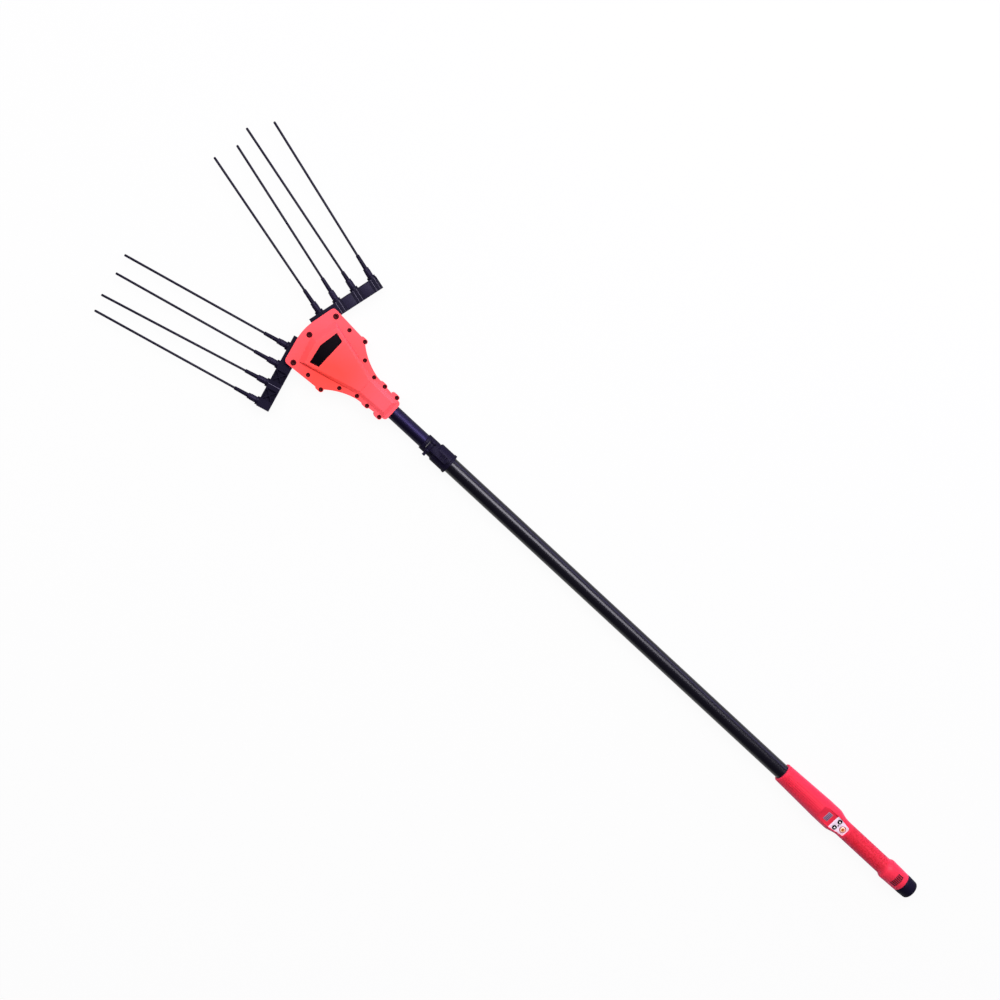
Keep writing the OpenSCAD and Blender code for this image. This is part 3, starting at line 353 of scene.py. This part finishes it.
def makeGripGroup():
    group, start, end = newGroup(
        "grippedZone",
        [
            ("Vector", "NodeSocketVector", (0, 0, 0)),
            ("From", "NodeSocketFloat", 0),
            ("To", "NodeSocketFloat", 0.1),
            ("Pebble Scale", "NodeSocketFloat", 420),
        ],
        ["Mottle", "Height"],
    )
    given = start.outputs
    along = addSplit(group, given["Vector"])["X"]
    pastStart = addMath(group, "SUBTRACT", along, given["From"])
    beforeEnd = addMath(group, "SUBTRACT", given["To"], along)
    begun = addRange(group, pastStart, 0, gripNoise["fade"], 0, 1)
    ended = addRange(group, beforeEnd, 0, gripNoise["fade"], 0, 1)
    zone = addMath(group, "MULTIPLY", begun, ended)
    pebble = group.nodes.new("ShaderNodeTexVoronoi")
    group.links.new(given["Vector"], pebble.inputs["Vector"])
    group.links.new(given["Pebble Scale"], pebble.inputs["Scale"])
    noise = addNoise(group, given["Vector"], *gripNoise["mottle"])
    mottle = addRange(group, noise, *gripNoise["mottleSpan"], 0, 1)
    group.links.new(addMath(group, "MULTIPLY", zone, mottle), end.inputs["Mottle"])
    group.links.new(addMath(group, "MULTIPLY", zone, pebble.outputs["Distance"]), end.inputs["Height"])
    return group


mouldGroup = makeMouldGroup()
streakGroup = makeStreakGroup()
gripGroup = makeGripGroup()


# kinds of material
bumpDepth = {"plastic": 0.0004, "metal": 0.0002}


def startMaterial(name, settings):
    material = bpy.data.materials.new(name)
    material.use_nodes = True
    tree = material.node_tree
    shader = tree.nodes["Principled BSDF"]
    for label, value in settings.items():
        shader.inputs[label].default_value = value
    coords = tree.nodes.new("ShaderNodeTexCoord")
    return material, tree, shader, coords.outputs["Object"]


def placeGroup(tree, group, vector, values):
    node = tree.nodes.new("ShaderNodeGroup")
    node.node_tree = group
    tree.links.new(vector, node.inputs["Vector"])
    for label, value in values.items():
        node.inputs[label].default_value = value
    return node.outputs


def addBump(tree, shader, height, strength, distance):
    bump = tree.nodes.new("ShaderNodeBump")
    bump.inputs["Strength"].default_value = strength
    bump.inputs["Distance"].default_value = distance
    tree.links.new(height, bump.inputs["Height"])
    tree.links.new(bump.outputs["Normal"], shader.inputs["Normal"])


def mouldedPlastic(name, dark, light, rough, grain, bump, settings):
    material, tree, shader, vector = startMaterial(name, settings)
    skin = placeGroup(tree, mouldGroup, vector, {
        "Grain Scale": grain,
        "Rough Low": rough[0],
        "Rough High": rough[1],
    })
    tree.links.new(addTint(tree, skin["Cloud"], dark, light), shader.inputs["Base Color"])
    tree.links.new(skin["Roughness"], shader.inputs["Roughness"])
    addBump(tree, shader, skin["Height"], bump, bumpDepth["plastic"])
    return material


def drawnMetal(name, dark, light, rough, stretch, bump, settings):
    material, tree, shader, vector = startMaterial(name, settings)
    drawn = placeGroup(tree, streakGroup, vector, {
        "Stretch": stretch,
        "Rough Low": rough[0],
        "Rough High": rough[1],
    })
    tree.links.new(addTint(tree, drawn["Streak"], dark, light), shader.inputs["Base Color"])
    tree.links.new(drawn["Roughness"], shader.inputs["Roughness"])
    addBump(tree, shader, drawn["Height"], bump, bumpDepth["metal"])
    return material


# painted shade: the head's plastic is painted oranger about its heart, on the side turned from the lamps,
# standing in for the dimmer, warmer light there; the heart is placed from the nose, the tool's middle and
# the floor, and a little random cloud tone is mixed in
headShadeTint = {
    "heartBack": 105,
    "heartOut": 40,
    "heartHeight": 45,
    "reach": (30, 115),
    "nearShare": 0.85,
    "cloudShare": 0.15,
    "cloudScale": 14,
}

# parting line of the head's two halves, on steep walls at the pole's height
headSeam = {
    "half": 0.15,
    "soft": 0.2,
    "steep": 0.5,
    "tint": (0.16, 0.006, 0.008),
}


# painted shade: share of the oranger shaded tone, falling off with distance from the heart, plus random
# cloud tone
def shadeTintShare(tree, vector, cloud):
    heart = (
        headNose - headShadeTint["heartBack"] * mm,
        headShadeTint["heartOut"] * mm,
        headShadeTint["heartHeight"] * mm,
    )
    near, far = headShadeTint["reach"]
    away = addVectorMath(tree, "DISTANCE", vector, heart)
    shaded = addRange(tree, away["Value"], near * mm, far * mm, headShadeTint["nearShare"], 0)
    return addMath(tree, "ADD", shaded, addMath(tree, "MULTIPLY", cloud, headShadeTint["cloudShare"]))


def seamMask(tree, vector):
    height = addMath(tree, "SUBTRACT", addSplit(tree, vector)["Z"], axisZ)
    edge = headSeam["half"] + headSeam["soft"]
    line = addRange(tree, addMath(tree, "ABSOLUTE", height), headSeam["half"] * mm, edge * mm, 1, 0)
    geometry = tree.nodes.new("ShaderNodeNewGeometry")
    tilt = addMath(tree, "ABSOLUTE", addSplit(tree, geometry.outputs["Normal"])["Z"])
    steep = addMath(tree, "LESS_THAN", tilt, headSeam["steep"])
    return addMath(tree, "MULTIPLY", line, steep)


def shadeTintedPlastic(name, lit, shaded, rough, grain, bump, settings):
    material, tree, shader, vector = startMaterial(name, settings)
    skin = placeGroup(tree, mouldGroup, vector, {
        "Grain Scale": grain,
        "Cloud Scale": headShadeTint["cloudScale"],
        "Rough Low": rough[0],
        "Rough High": rough[1],
    })
    # painted shade: pink lit tone turning orange towards the heart
    shell = addTint(tree, shadeTintShare(tree, vector, skin["Cloud"]), lit, shaded)
    seamed = addTint(tree, seamMask(tree, vector), shell, headSeam["tint"])
    tree.links.new(seamed, shader.inputs["Base Color"])
    tree.links.new(skin["Roughness"], shader.inputs["Roughness"])
    addBump(tree, shader, skin["Height"], bump, bumpDepth["plastic"])
    return material


# painted shade in and between the vent slots: their stations, the handle's radius there, where it starts
ventSlots = {
    "from": 43,
    "to": 58,
    "endGap": 0.2,
    "endFade": 1.2,
    "capRadius": 22.3,
    "flareRadius": 23.9,
    "flareFront": 77.5,
    "depth": (0.25, 0.6),
    "halfField": 13.8,
    "fieldFade": 1,
    "fieldShare": 0.5,
    "shadeTint": (0.045, 0.003, 0.006),
}


# painted shade: darker the deeper a point lies below the handle's skin in the slots
def ventDepthShade(tree, along, across, up):
    square = addMath(tree, "ADD", addMath(tree, "POWER", across, 2), addMath(tree, "POWER", up, 2))
    outer = addRange(
        tree, along, stations["capFront"] * mm, ventSlots["flareFront"] * mm,
        ventSlots["capRadius"] * mm, ventSlots["flareRadius"] * mm)
    depth = addMath(tree, "SUBTRACT", outer, addMath(tree, "SQRT", square))
    shallow, full = ventSlots["depth"]
    return addRange(tree, depth, shallow * mm, full * mm, 0, 1)


# painted shade over the field of bars between the slots, on the top side
def ventFieldShade(tree, side, up):
    roll = math.radians(stations["handleRoll"])
    level = addMath(tree, "MULTIPLY", side, math.cos(roll))
    across = addMath(tree, "SUBTRACT", level, addMath(tree, "MULTIPLY", up, math.sin(roll)))
    half = ventSlots["halfField"]
    inside = addRange(
        tree, addMath(tree, "ABSOLUTE", across), half * mm, (half + ventSlots["fieldFade"]) * mm, 1, 0)
    onTop = addMath(tree, "MULTIPLY", inside, addMath(tree, "GREATER_THAN", up, 0))
    return addMath(tree, "MULTIPLY", onTop, ventSlots["fieldShare"])


def ventShadeMask(tree, vector):
    place = addSplit(tree, vector)
    along = addMath(tree, "SUBTRACT", place["X"], rearX)
    up = addMath(tree, "SUBTRACT", place["Z"], axisZ)
    deep = ventDepthShade(tree, along, place["Y"], up)
    shadeShare = addMath(tree, "MAXIMUM", deep, ventFieldShade(tree, place["Y"], up))
    gap, fade = ventSlots["endGap"], ventSlots["endFade"]
    first, last = ventSlots["from"], ventSlots["to"]
    begun = addRange(tree, along, (first - fade) * mm, (first - gap) * mm, 0, 1)
    ended = addRange(tree, along, (last + gap) * mm, (last + fade) * mm, 1, 0)
    return addMath(tree, "MULTIPLY", shadeShare, addMath(tree, "MULTIPLY", begun, ended))


def grippedPlastic(name, dark, light, gripTint, rough, grain, bump, settings):
    material, tree, shader, vector = startMaterial(name, settings)
    skin = placeGroup(tree, mouldGroup, vector, {
        "Grain Scale": grain,
        "Rough Low": rough[0],
        "Rough High": rough[1],
    })
    grip = placeGroup(tree, gripGroup, vector, {
        "From": rearX + stations["gripRear"] * mm,
        "To": rearX + stations["gripFront"] * mm,
    })
    plain = addTint(tree, skin["Cloud"], dark, light)
    gripped = addTint(tree, grip["Mottle"], plain, gripTint)
    # painted shade in and between the vent slots
    vented = addTint(tree, ventShadeMask(tree, vector), gripped, ventSlots["shadeTint"])
    tree.links.new(vented, shader.inputs["Base Color"])
    tree.links.new(skin["Roughness"], shader.inputs["Roughness"])
    pebbles = addMath(tree, "MULTIPLY", grip["Height"], gripNoise["pebbleDepth"])
    height = addMath(tree, "SUBTRACT", skin["Height"], pebbles)
    addBump(tree, shader, height, bump, bumpDepth["plastic"])
    return material


# one finish for each slot of the record
finishes = {
    "black_tube": drawnMetal(
        "blackAnodisedTube", dark=(0.0015, 0.0012, 0.004), light=(0.003, 0.0025, 0.007),
        rough=(0.278, 0.288), stretch=(5, 300, 300), bump=0.0, settings={"Specular IOR Level": 0.25}),
    "black_plastic": mouldedPlastic(
        "blackComb", dark=(0.0035, 0.0025, 0.011), light=(0.007, 0.005, 0.018),
        rough=(0.46, 0.6), grain=1100, bump=0.2, settings={"Specular IOR Level": 0.05}),
    "black_nut": mouldedPlastic(
        "blackNut", dark=(0.008, 0.006, 0.019), light=(0.015, 0.011, 0.032),
        rough=(0.45, 0.58), grain=1100, bump=0.12, settings={"Specular IOR Level": 0.06}),
    "black_rod": drawnMetal(
        "fibreRod", dark=(0.006, 0.005, 0.014), light=(0.01, 0.008, 0.021),
        rough=(0.4, 0.5), stretch=(9, 900, 900), bump=0.08, settings={"Specular IOR Level": 0.07}),
    # coral shell with painted shade: pink where lit, orange towards the shaded heart
    "head_red": shadeTintedPlastic(
        "coralShell", lit=(0.92, 0.098, 0.122), shaded=(0.94, 0.064, 0.05),
        rough=(0.45, 0.55), grain=1400, bump=0.1, settings={"Specular IOR Level": 0.06}),
    "handle_red": grippedPlastic(
        "crimsonShell", dark=(0.8, 0.022, 0.05), light=(0.88, 0.03, 0.068), gripTint=(0.6, 0.011, 0.022),
        rough=(0.45, 0.56), grain=1100, bump=0.25, settings={
            "Specular IOR Level": 0.1,
            "Sheen Weight": 0.28,
            "Sheen Roughness": 0.45,
            "Sheen Tint": (0.62, 0.45, 1.0, 1.0),
        }),
    # dark screw colour with painted shade: near-black maroon for the shade down in the counterbores
    "dark_screw": mouldedPlastic(
        "shadeDarkenedScrew", dark=(0.045, 0.001, 0.003), light=(0.07, 0.002, 0.005),
        rough=(0.4, 0.55), grain=1500, bump=0.1, settings={"Specular IOR Level": 0.04}),
    "bright_steel": drawnMetal(
        "brightSteel", dark=(0.42, 0.43, 0.45), light=(0.62, 0.63, 0.65),
        rough=(0.22, 0.36), stretch=(60, 900, 900), bump=0.1, settings={"Metallic": 1.0}),
    "cast_alloy": mouldedPlastic(
        "castAlloy", dark=(0.42, 0.43, 0.44), light=(0.56, 0.57, 0.58),
        rough=(0.4, 0.6), grain=700, bump=0.3, settings={"Metallic": 1.0}),
    "bronze": drawnMetal(
        "bearingBronze", dark=(0.36, 0.22, 0.09), light=(0.5, 0.33, 0.15),
        rough=(0.3, 0.45), stretch=(200, 200, 200), bump=0.1, settings={"Metallic": 1.0}),
    "contact_brass": drawnMetal(
        "contactBrass", dark=(0.6, 0.42, 0.15), light=(0.78, 0.58, 0.24),
        rough=(0.2, 0.32), stretch=(300, 300, 300), bump=0.05, settings={"Metallic": 1.0}),
    "badge_black": mouldedPlastic(
        "badgeBlack", dark=(0.002, 0.001, 0.002), light=(0.004, 0.002, 0.004),
        rough=(0.5, 0.62), grain=1500, bump=0.05, settings={"Specular IOR Level": 0.015}),
    "panel_white": mouldedPlastic(
        "panelFilm", dark=(0.92, 0.73, 0.9), light=(0.96, 0.79, 0.95),
        rough=(0.4, 0.5), grain=1500, bump=0.04, settings={"Specular IOR Level": 0.2}),
    "button_orange": mouldedPlastic(
        "creamButton", dark=(0.95, 0.74, 0.56), light=(0.97, 0.8, 0.63),
        rough=(0.4, 0.5), grain=1200, bump=0.08, settings={}),
    "button_black": mouldedPlastic(
        "blackButton", dark=(0.002, 0.0015, 0.003), light=(0.004, 0.003, 0.006),
        rough=(0.5, 0.6), grain=1200, bump=0.15, settings={"Specular IOR Level": 0.03}),
    "lamp_red": mouldedPlastic(
        "lampLens", dark=(0.02, 0.002, 0.004), light=(0.035, 0.003, 0.007),
        rough=(0.25, 0.35), grain=600, bump=0.02, settings={"Specular IOR Level": 0.1}),
    "display_grey": mouldedPlastic(
        "displayGlass", dark=(0.36, 0.19, 0.29), light=(0.42, 0.24, 0.34),
        rough=(0.3, 0.4), grain=600, bump=0.01, settings={"Specular IOR Level": 0.3}),
    "board_green": mouldedPlastic(
        "boardLaminate", dark=(0.02, 0.13, 0.06), light=(0.03, 0.19, 0.08),
        rough=(0.4, 0.55), grain=900, bump=0.1, settings={}),
    "dark_plastic": mouldedPlastic(
        "darkNylon", dark=(0.02, 0.02, 0.023), light=(0.032, 0.032, 0.036),
        rough=(0.45, 0.6), grain=1000, bump=0.2, settings={}),
}

# finishes of print and trim, of the painted highlight lines on the comb bars, and of the inner tube,
# which is more violet than the outer one
printWhite = mouldedPlastic(
    "printedWhite", dark=(0.9, 0.87, 0.9), light=(0.96, 0.93, 0.96),
    rough=(0.4, 0.5), grain=1500, bump=0.03, settings={})
markOrange = mouldedPlastic(
    "markOrange", dark=(0.82, 0.2, 0.025), light=(0.88, 0.25, 0.04),
    rough=(0.4, 0.5), grain=1500, bump=0.03, settings={})
dotBrown = mouldedPlastic(
    "dotBrown", dark=(0.2, 0.02, 0.006), light=(0.26, 0.03, 0.01),
    rough=(0.4, 0.5), grain=1500, bump=0.03, settings={})
ringCoral = mouldedPlastic(
    "ringCoral", dark=(0.5, 0.05, 0.045), light=(0.58, 0.07, 0.06),
    rough=(0.4, 0.5), grain=1500, bump=0.03, settings={})
stripeViolet = mouldedPlastic(
    "stripeViolet", dark=(0.06, 0.05, 0.12), light=(0.08, 0.065, 0.15),
    rough=(0.25, 0.35), grain=1500, bump=0.02, settings={})
panelGrey = mouldedPlastic(
    "barPanel", dark=(0.012, 0.0095, 0.026), light=(0.018, 0.015, 0.037),
    rough=(0.5, 0.62), grain=1100, bump=0.15, settings={"Specular IOR Level": 0.05})
# painted highlight: light lines on the comb bars
barHighlightTone = mouldedPlastic(
    "barHighlightLine", dark=(0.11, 0.1, 0.16), light=(0.15, 0.14, 0.2),
    rough=(0.5, 0.6), grain=1100, bump=0.1, settings={"Specular IOR Level": 0.05})
innerTube = drawnMetal(
    "blackInnerTube", dark=(0.0015, 0.0012, 0.005), light=(0.003, 0.0022, 0.008),
    rough=(0.42, 0.48), stretch=(5, 600, 600), bump=0.0, settings={
        "Specular IOR Level": 0.25,
        "Specular Tint": (0.42, 0.34, 1.0, 1),
    })

record = frame["record"]
slotOf = {part["node"]: part["material_slot"] for part in record["subparts"]}
bodyOf = {node: body for body, members in record["behaviour"]["bodies"].items() for node in members}
ownFinish = {"inner_tube": innerTube, "clamp_pin": finishes["black_nut"]}
for name, slotName in slotOf.items():
    nodes[name].data.materials.clear()
    nodes[name].data.materials.append(ownFinish.get(name, finishes[slotName]))
print("finishes placed")

# how edges are broken: steps over an edge, angles in degrees, merging distance in millimetres
edgeStyle = {
    "steps": 2,
    "smoothAngle": 38,
    "partAngle": 32,
    "plateAngle": 40,
    "mergeWithin": 0.002,
    "flatAngle": 0.6,
}


def pick(piece):
    bpy.ops.object.select_all(action="DESELECT")
    piece.select_set(True)
    bpy.context.view_layer.objects.active = piece


def useModifier(piece, kind, settings):
    pick(piece)
    modifier = piece.modifiers.new(kind.lower(), kind)
    for label, value in settings.items():
        setattr(modifier, label, value)
    bpy.ops.object.modifier_apply(modifier=modifier.name)


def softenEdges(piece, width, angle):
    useModifier(piece, "BEVEL", {
        "width": width * mm,
        "segments": edgeStyle["steps"],
        "limit_method": "ANGLE",
        "angle_limit": math.radians(angle),
        "use_clamp_overlap": False,
    })
    pick(piece)
    bpy.ops.object.shade_smooth_by_angle(angle=math.radians(edgeStyle["smoothAngle"]))


# moulded and turned parts with broken edges: edge width in millimetres for each
softParts = {
    "cover_screws": 0.4,
    "corner_screws": 0.5,
    "badge_plate": 0.35,
    "left_tine_nuts": 0.5,
    "right_tine_nuts": 0.5,
    "left_tine_sleeves": 0.5,
    "right_tine_sleeves": 0.5,
    "clamp_body": 0.5,
    "clamp_lever": 0.6,
    "clamp_pin": 0.4,
    "handle_top_shell": 0.35,
    "handle_bottom_shell": 0.35,
    "control_panel": 0.25,
    "display_window": 0.3,
    "end_cap": 0.5,
    "power_socket": 0.3,
}
softTines = {"edge": 0.2, "sides": ("left", "right"), "count": 4}


def makeSoft(name, width):
    piece = bpy.data.objects.new(name + "_soft", nodes[name].data.copy())
    scene.collection.objects.link(piece)
    pick(piece)
    bpy.ops.object.mode_set(mode="EDIT")
    bpy.ops.mesh.select_all(action="SELECT")
    bpy.ops.mesh.remove_doubles(threshold=edgeStyle["mergeWithin"] * mm)
    bpy.ops.mesh.dissolve_limited(angle_limit=math.radians(edgeStyle["flatAngle"]))
    bpy.ops.object.mode_set(mode="OBJECT")
    softenEdges(piece, width, edgeStyle["partAngle"])
    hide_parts(name)
    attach(piece, bodyOf[name])


for name, width in softParts.items():
    makeSoft(name, width)
for side in softTines["sides"]:
    for i in range(softTines["count"]):
        makeSoft(side + "_tine_" + str(i + 1), softTines["edge"])
print("edges softened")

# frames of the handle and of its sloping panel and facet
handleRoll = Matrix.Rotation(-math.radians(stations["handleRoll"]), 4, "X")
handleFrame = Matrix.Translation((rearX, 0, axisZ)) @ handleRoll


def slopeFrame(start, end, rise):
    turn = Matrix.Rotation(-math.atan2(rise[1] - rise[0], end - start), 4, "Y")
    return handleFrame @ Matrix.Translation((start * mm, 0, rise[0] * mm)) @ turn


facetRise = (stations["panelRise"][1], stations["facetRise"])
panelFrame = slopeFrame(stations["panelRear"], stations["panelFront"], stations["panelRise"])
facetFrame = slopeFrame(stations["panelFront"], stations["facetFront"], facetRise)

# thin plates, sunk a little into what carries them
plateSunk = 0.05
circleSides = 40


def spot(slope, along, out, top):
    return slope @ Matrix.Translation((along * mm, out * mm, (top - plateSunk) * mm))


def addCircle(name, radius, fill):
    bpy.ops.object.select_all(action="DESELECT")
    bpy.ops.mesh.primitive_circle_add(vertices=circleSides, radius=radius * mm, fill_type=fill)
    piece = bpy.context.active_object
    piece.name = name
    return piece


def addRing(name, outer, inner):
    ring = addCircle(name, outer, "NOTHING")
    bpy.ops.object.mode_set(mode="EDIT")
    bpy.ops.mesh.select_all(action="SELECT")
    bpy.ops.mesh.extrude_edges_move()
    bpy.ops.transform.resize(value=(inner / outer, inner / outer, 1))
    bpy.ops.mesh.select_all(action="SELECT")
    bpy.ops.mesh.normals_make_consistent(inside=False)
    bpy.ops.object.mode_set(mode="OBJECT")
    return ring


def addOblong(name, length, width):
    bpy.ops.object.select_all(action="DESELECT")
    bpy.ops.mesh.primitive_plane_add(size=1)
    piece = bpy.context.active_object
    piece.name = name
    piece.scale = (length * mm, width * mm, 1)
    bpy.ops.object.transform_apply(scale=True)
    return piece


def settlePlate(piece, thick, edge, place, body, material):
    useModifier(piece, "SOLIDIFY", {"thickness": thick * mm, "offset": 1})
    softenEdges(piece, edge, edgeStyle["plateAngle"])
    piece.matrix_world = place
    pick(piece)
    bpy.ops.object.transform_apply(location=True, rotation=True, scale=True)
    piece.data.materials.append(material)
    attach(piece, body)


# printed drops on the two black buttons
dropMark = {
    "radius": 1.9,
    "stretch": 1.55,
    "pinch": 0.45,
    "thick": 0.3,
    "edge": 0.1,
    "along": 29,
    "out": 8.4,
    "top": 1.4,
}


def makeDrop(name, side, body):
    drop = addCircle(name, dropMark["radius"], "NGON")
    for vertex in drop.data.vertices:
        reach = max(0, vertex.co.x) / (dropMark["radius"] * mm)
        vertex.co.x *= 1 + (dropMark["stretch"] - 1) * reach
        vertex.co.y *= 1 - dropMark["pinch"] * reach
    place = spot(panelFrame, dropMark["along"], side * dropMark["out"], dropMark["top"])
    turn = Matrix.Rotation(math.radians(180 if side > 0 else 0), 4, "Z")
    settlePlate(drop, dropMark["thick"], dropMark["edge"], place @ turn, body, printWhite)


makeDrop("slower_mark", 1, "slower_button")
makeDrop("faster_mark", -1, "faster_button")

# black bezels round these buttons
bezel = {
    "ring": (5.5, 4.7),
    "thick": 0.4,
    "edge": 0.1,
    "along": 29,
    "out": 8.4,
    "top": 0.2,
}


def makeBezel(name, side):
    ring = addRing(name, *bezel["ring"])
    place = spot(panelFrame, bezel["along"], side * bezel["out"], bezel["top"])
    black = finishes["button_black"]
    settlePlate(ring, bezel["thick"], bezel["edge"], place, "pole", black)


makeBezel("slower_bezel", 1)
makeBezel("faster_bezel", -1)

# dark rim round the lamp
lampRim = {
    "ring": (1.9, 1.35),
    "thick": 0.35,
    "edge": 0.08,
    "along": 25.1,
    "top": 0.2,
}


def makeLampRim():
    rim = addRing("lamp_rim", *lampRim["ring"])
    place = spot(panelFrame, lampRim["along"], 0, lampRim["top"])
    black = finishes["button_black"]
    settlePlate(rim, lampRim["thick"], lampRim["edge"], place, "pole", black)


makeLampRim()

# ring round the power button, and the mark and dot on its top
powerMark = {
    "along": 11.3,
    "ring": (7.8, 6.25),
    "ringThick": 0.5,
    "panelTop": 0.2,
    "mark": (3.9, 1.7),
    "dot": 1.7,
    "dotThick": 0.3,
    "buttonTop": 1.8,
    "edge": 0.12,
}


def makePowerMarks():
    edge = powerMark["edge"]
    ring = addRing("power_ring", *powerMark["ring"])
    place = spot(panelFrame, powerMark["along"], 0, powerMark["panelTop"])
    settlePlate(ring, powerMark["ringThick"], edge, place, "pole", ringCoral)
    place = spot(panelFrame, powerMark["along"], 0, powerMark["buttonTop"])
    mark = addRing("power_mark", *powerMark["mark"])
    settlePlate(mark, powerMark["dotThick"], edge, place, "power_button", markOrange)
    dot = addCircle("power_dot", powerMark["dot"], "NGON")
    settlePlate(dot, powerMark["dotThick"], edge, place, "power_button", dotBrown)


makePowerMarks()

# bars on the display
displayBars = {
    "count": 3,
    "pitch": 3.9,
    "length": 1.8,
    "width": 18,
    "thick": 0.2,
    "edge": 0.06,
    "along": 17.4,
    "top": 0.2,
}


def makeDisplayBar(i):
    setup = displayBars
    bar = addOblong("display_bar_" + str(i + 1), setup["length"], setup["width"])
    along = setup["along"] + (i - (setup["count"] - 1) / 2) * setup["pitch"]
    place = spot(facetFrame, along, 0, setup["top"])
    settlePlate(bar, setup["thick"], setup["edge"], place, "pole", stripeViolet)


for i in range(displayBars["count"]):
    makeDisplayBar(i)
print("handle marks made")

# dark gauze behind the vent slots, from the cap's front end on
ventGauze = {
    "radius": 19.8,
    "sides": 90,
    "from": 12.6,
    "to": 28.4,
    "halfAngle": 52,
    "thick": 0.5,
    "edge": 0.12,
}


def makeGauze():
    setup = ventGauze
    length = setup["to"] - setup["from"]
    bpy.ops.object.select_all(action="DESELECT")
    bpy.ops.mesh.primitive_cylinder_add(
        vertices=setup["sides"], radius=setup["radius"] * mm, depth=length * mm, end_fill_type="NOTHING")
    gauze = bpy.context.active_object
    gauze.name = "vent_gauze"
    bpy.ops.object.mode_set(mode="EDIT")
    bpy.ops.mesh.select_mode(type="FACE")
    bpy.ops.mesh.select_all(action="DESELECT")
    bpy.ops.object.mode_set(mode="OBJECT")
    for polygon in gauze.data.polygons:
        center = polygon.center
        polygon.select = abs(math.atan2(center.y, -center.x)) > math.radians(setup["halfAngle"])
    bpy.ops.object.mode_set(mode="EDIT")
    bpy.ops.mesh.delete(type="FACE")
    bpy.ops.object.mode_set(mode="OBJECT")
    useModifier(gauze, "SOLIDIFY", {"thickness": setup["thick"] * mm, "offset": -1})
    softenEdges(gauze, setup["edge"], edgeStyle["plateAngle"])
    middle = stations["capFront"] + (setup["from"] + setup["to"]) / 2
    lengthwise = Matrix.Rotation(math.radians(90), 4, "Y")
    gauze.matrix_world = handleFrame @ Matrix.Translation((middle * mm, 0, 0)) @ lengthwise
    pick(gauze)
    bpy.ops.object.transform_apply(location=True, rotation=True, scale=True)
    gauze.data.materials.append(finishes["dark_plastic"])
    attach(gauze, "pole")


makeGauze()
print("gauze fitted")

# painted highlights as light lines, and paler panels, on the comb bars, in the frame of each comb's pivot
barLinesAndPanels = {
    "pivotBack": 29.7,
    "pivotOut": 64.2,
    "splay": 14,
    "firstTine": 23.7,
    "pitch": 42.6,
    "rear": -3,
    "front": 25,
    "floor": 8,
    "top": 9,
    "lineWidth": 1,
    "lineOff": 4,
    "thick": 0.35,
    "edge": 0.1,
    "inset": 0.2,
    "panelRim": 1.5,
    "panelFrom": 9.5,
    "panelLength": 23.6,
    "rightLined": (1, 2, 3),
    "rightPanelled": (1, 2),
    "leftLined": 2,
}


def combFrame(side):
    pivot = (headNose - barLinesAndPanels["pivotBack"] * mm, side * barLinesAndPanels["pivotOut"] * mm, axisZ)
    return Matrix.Translation(pivot) @ Matrix.Rotation(side * math.radians(barLinesAndPanels["splay"]), 4, "Z")


def addBarPlate(name, side, along, across, height, material):
    plate = addOblong(name, along[1] - along[0], across[1] - across[0])
    place = spot(combFrame(side), sum(along) / 2, side * sum(across) / 2, height)
    body = bodyOf[("left" if side > 0 else "right") + "_comb_bar"]
    settlePlate(plate, barLinesAndPanels["thick"], barLinesAndPanels["edge"], place, body, material)


def tineOut(i):
    return i * barLinesAndPanels["pitch"] - barLinesAndPanels["firstTine"]


def highlightAcross(out):
    half = barLinesAndPanels["lineWidth"] / 2
    return out - half, out + half


def paintBarLinesAndPanels():
    inset = barLinesAndPanels["inset"]
    rim = barLinesAndPanels["panelRim"] + inset
    full = (barLinesAndPanels["rear"] + inset, barLinesAndPanels["front"] - inset)
    inner = (barLinesAndPanels["rear"] + rim, barLinesAndPanels["front"] - rim)
    # painted highlights: light lines either side of the right bar's tines and one over a left bar tine
    for i in barLinesAndPanels["rightLined"]:
        for letter, hand in (("a", -1), ("b", 1)):
            across = highlightAcross(tineOut(i) + hand * barLinesAndPanels["lineOff"])
            addBarPlate("right_highlight_line_" + str(i + 1) + letter, -1, full, across, barLinesAndPanels["floor"], barHighlightTone)
    for i in barLinesAndPanels["rightPanelled"]:
        start = tineOut(i) + barLinesAndPanels["panelFrom"] + inset
        end = start + barLinesAndPanels["panelLength"] - 2 * inset
        addBarPlate("right_panel_" + str(i), -1, inner, (start, end), barLinesAndPanels["floor"], panelGrey)
    across = highlightAcross(tineOut(barLinesAndPanels["leftLined"]))
    addBarPlate("left_highlight_line_3", 1, full, across, barLinesAndPanels["top"], barHighlightTone)


paintBarLinesAndPanels()
print("bars trimmed")
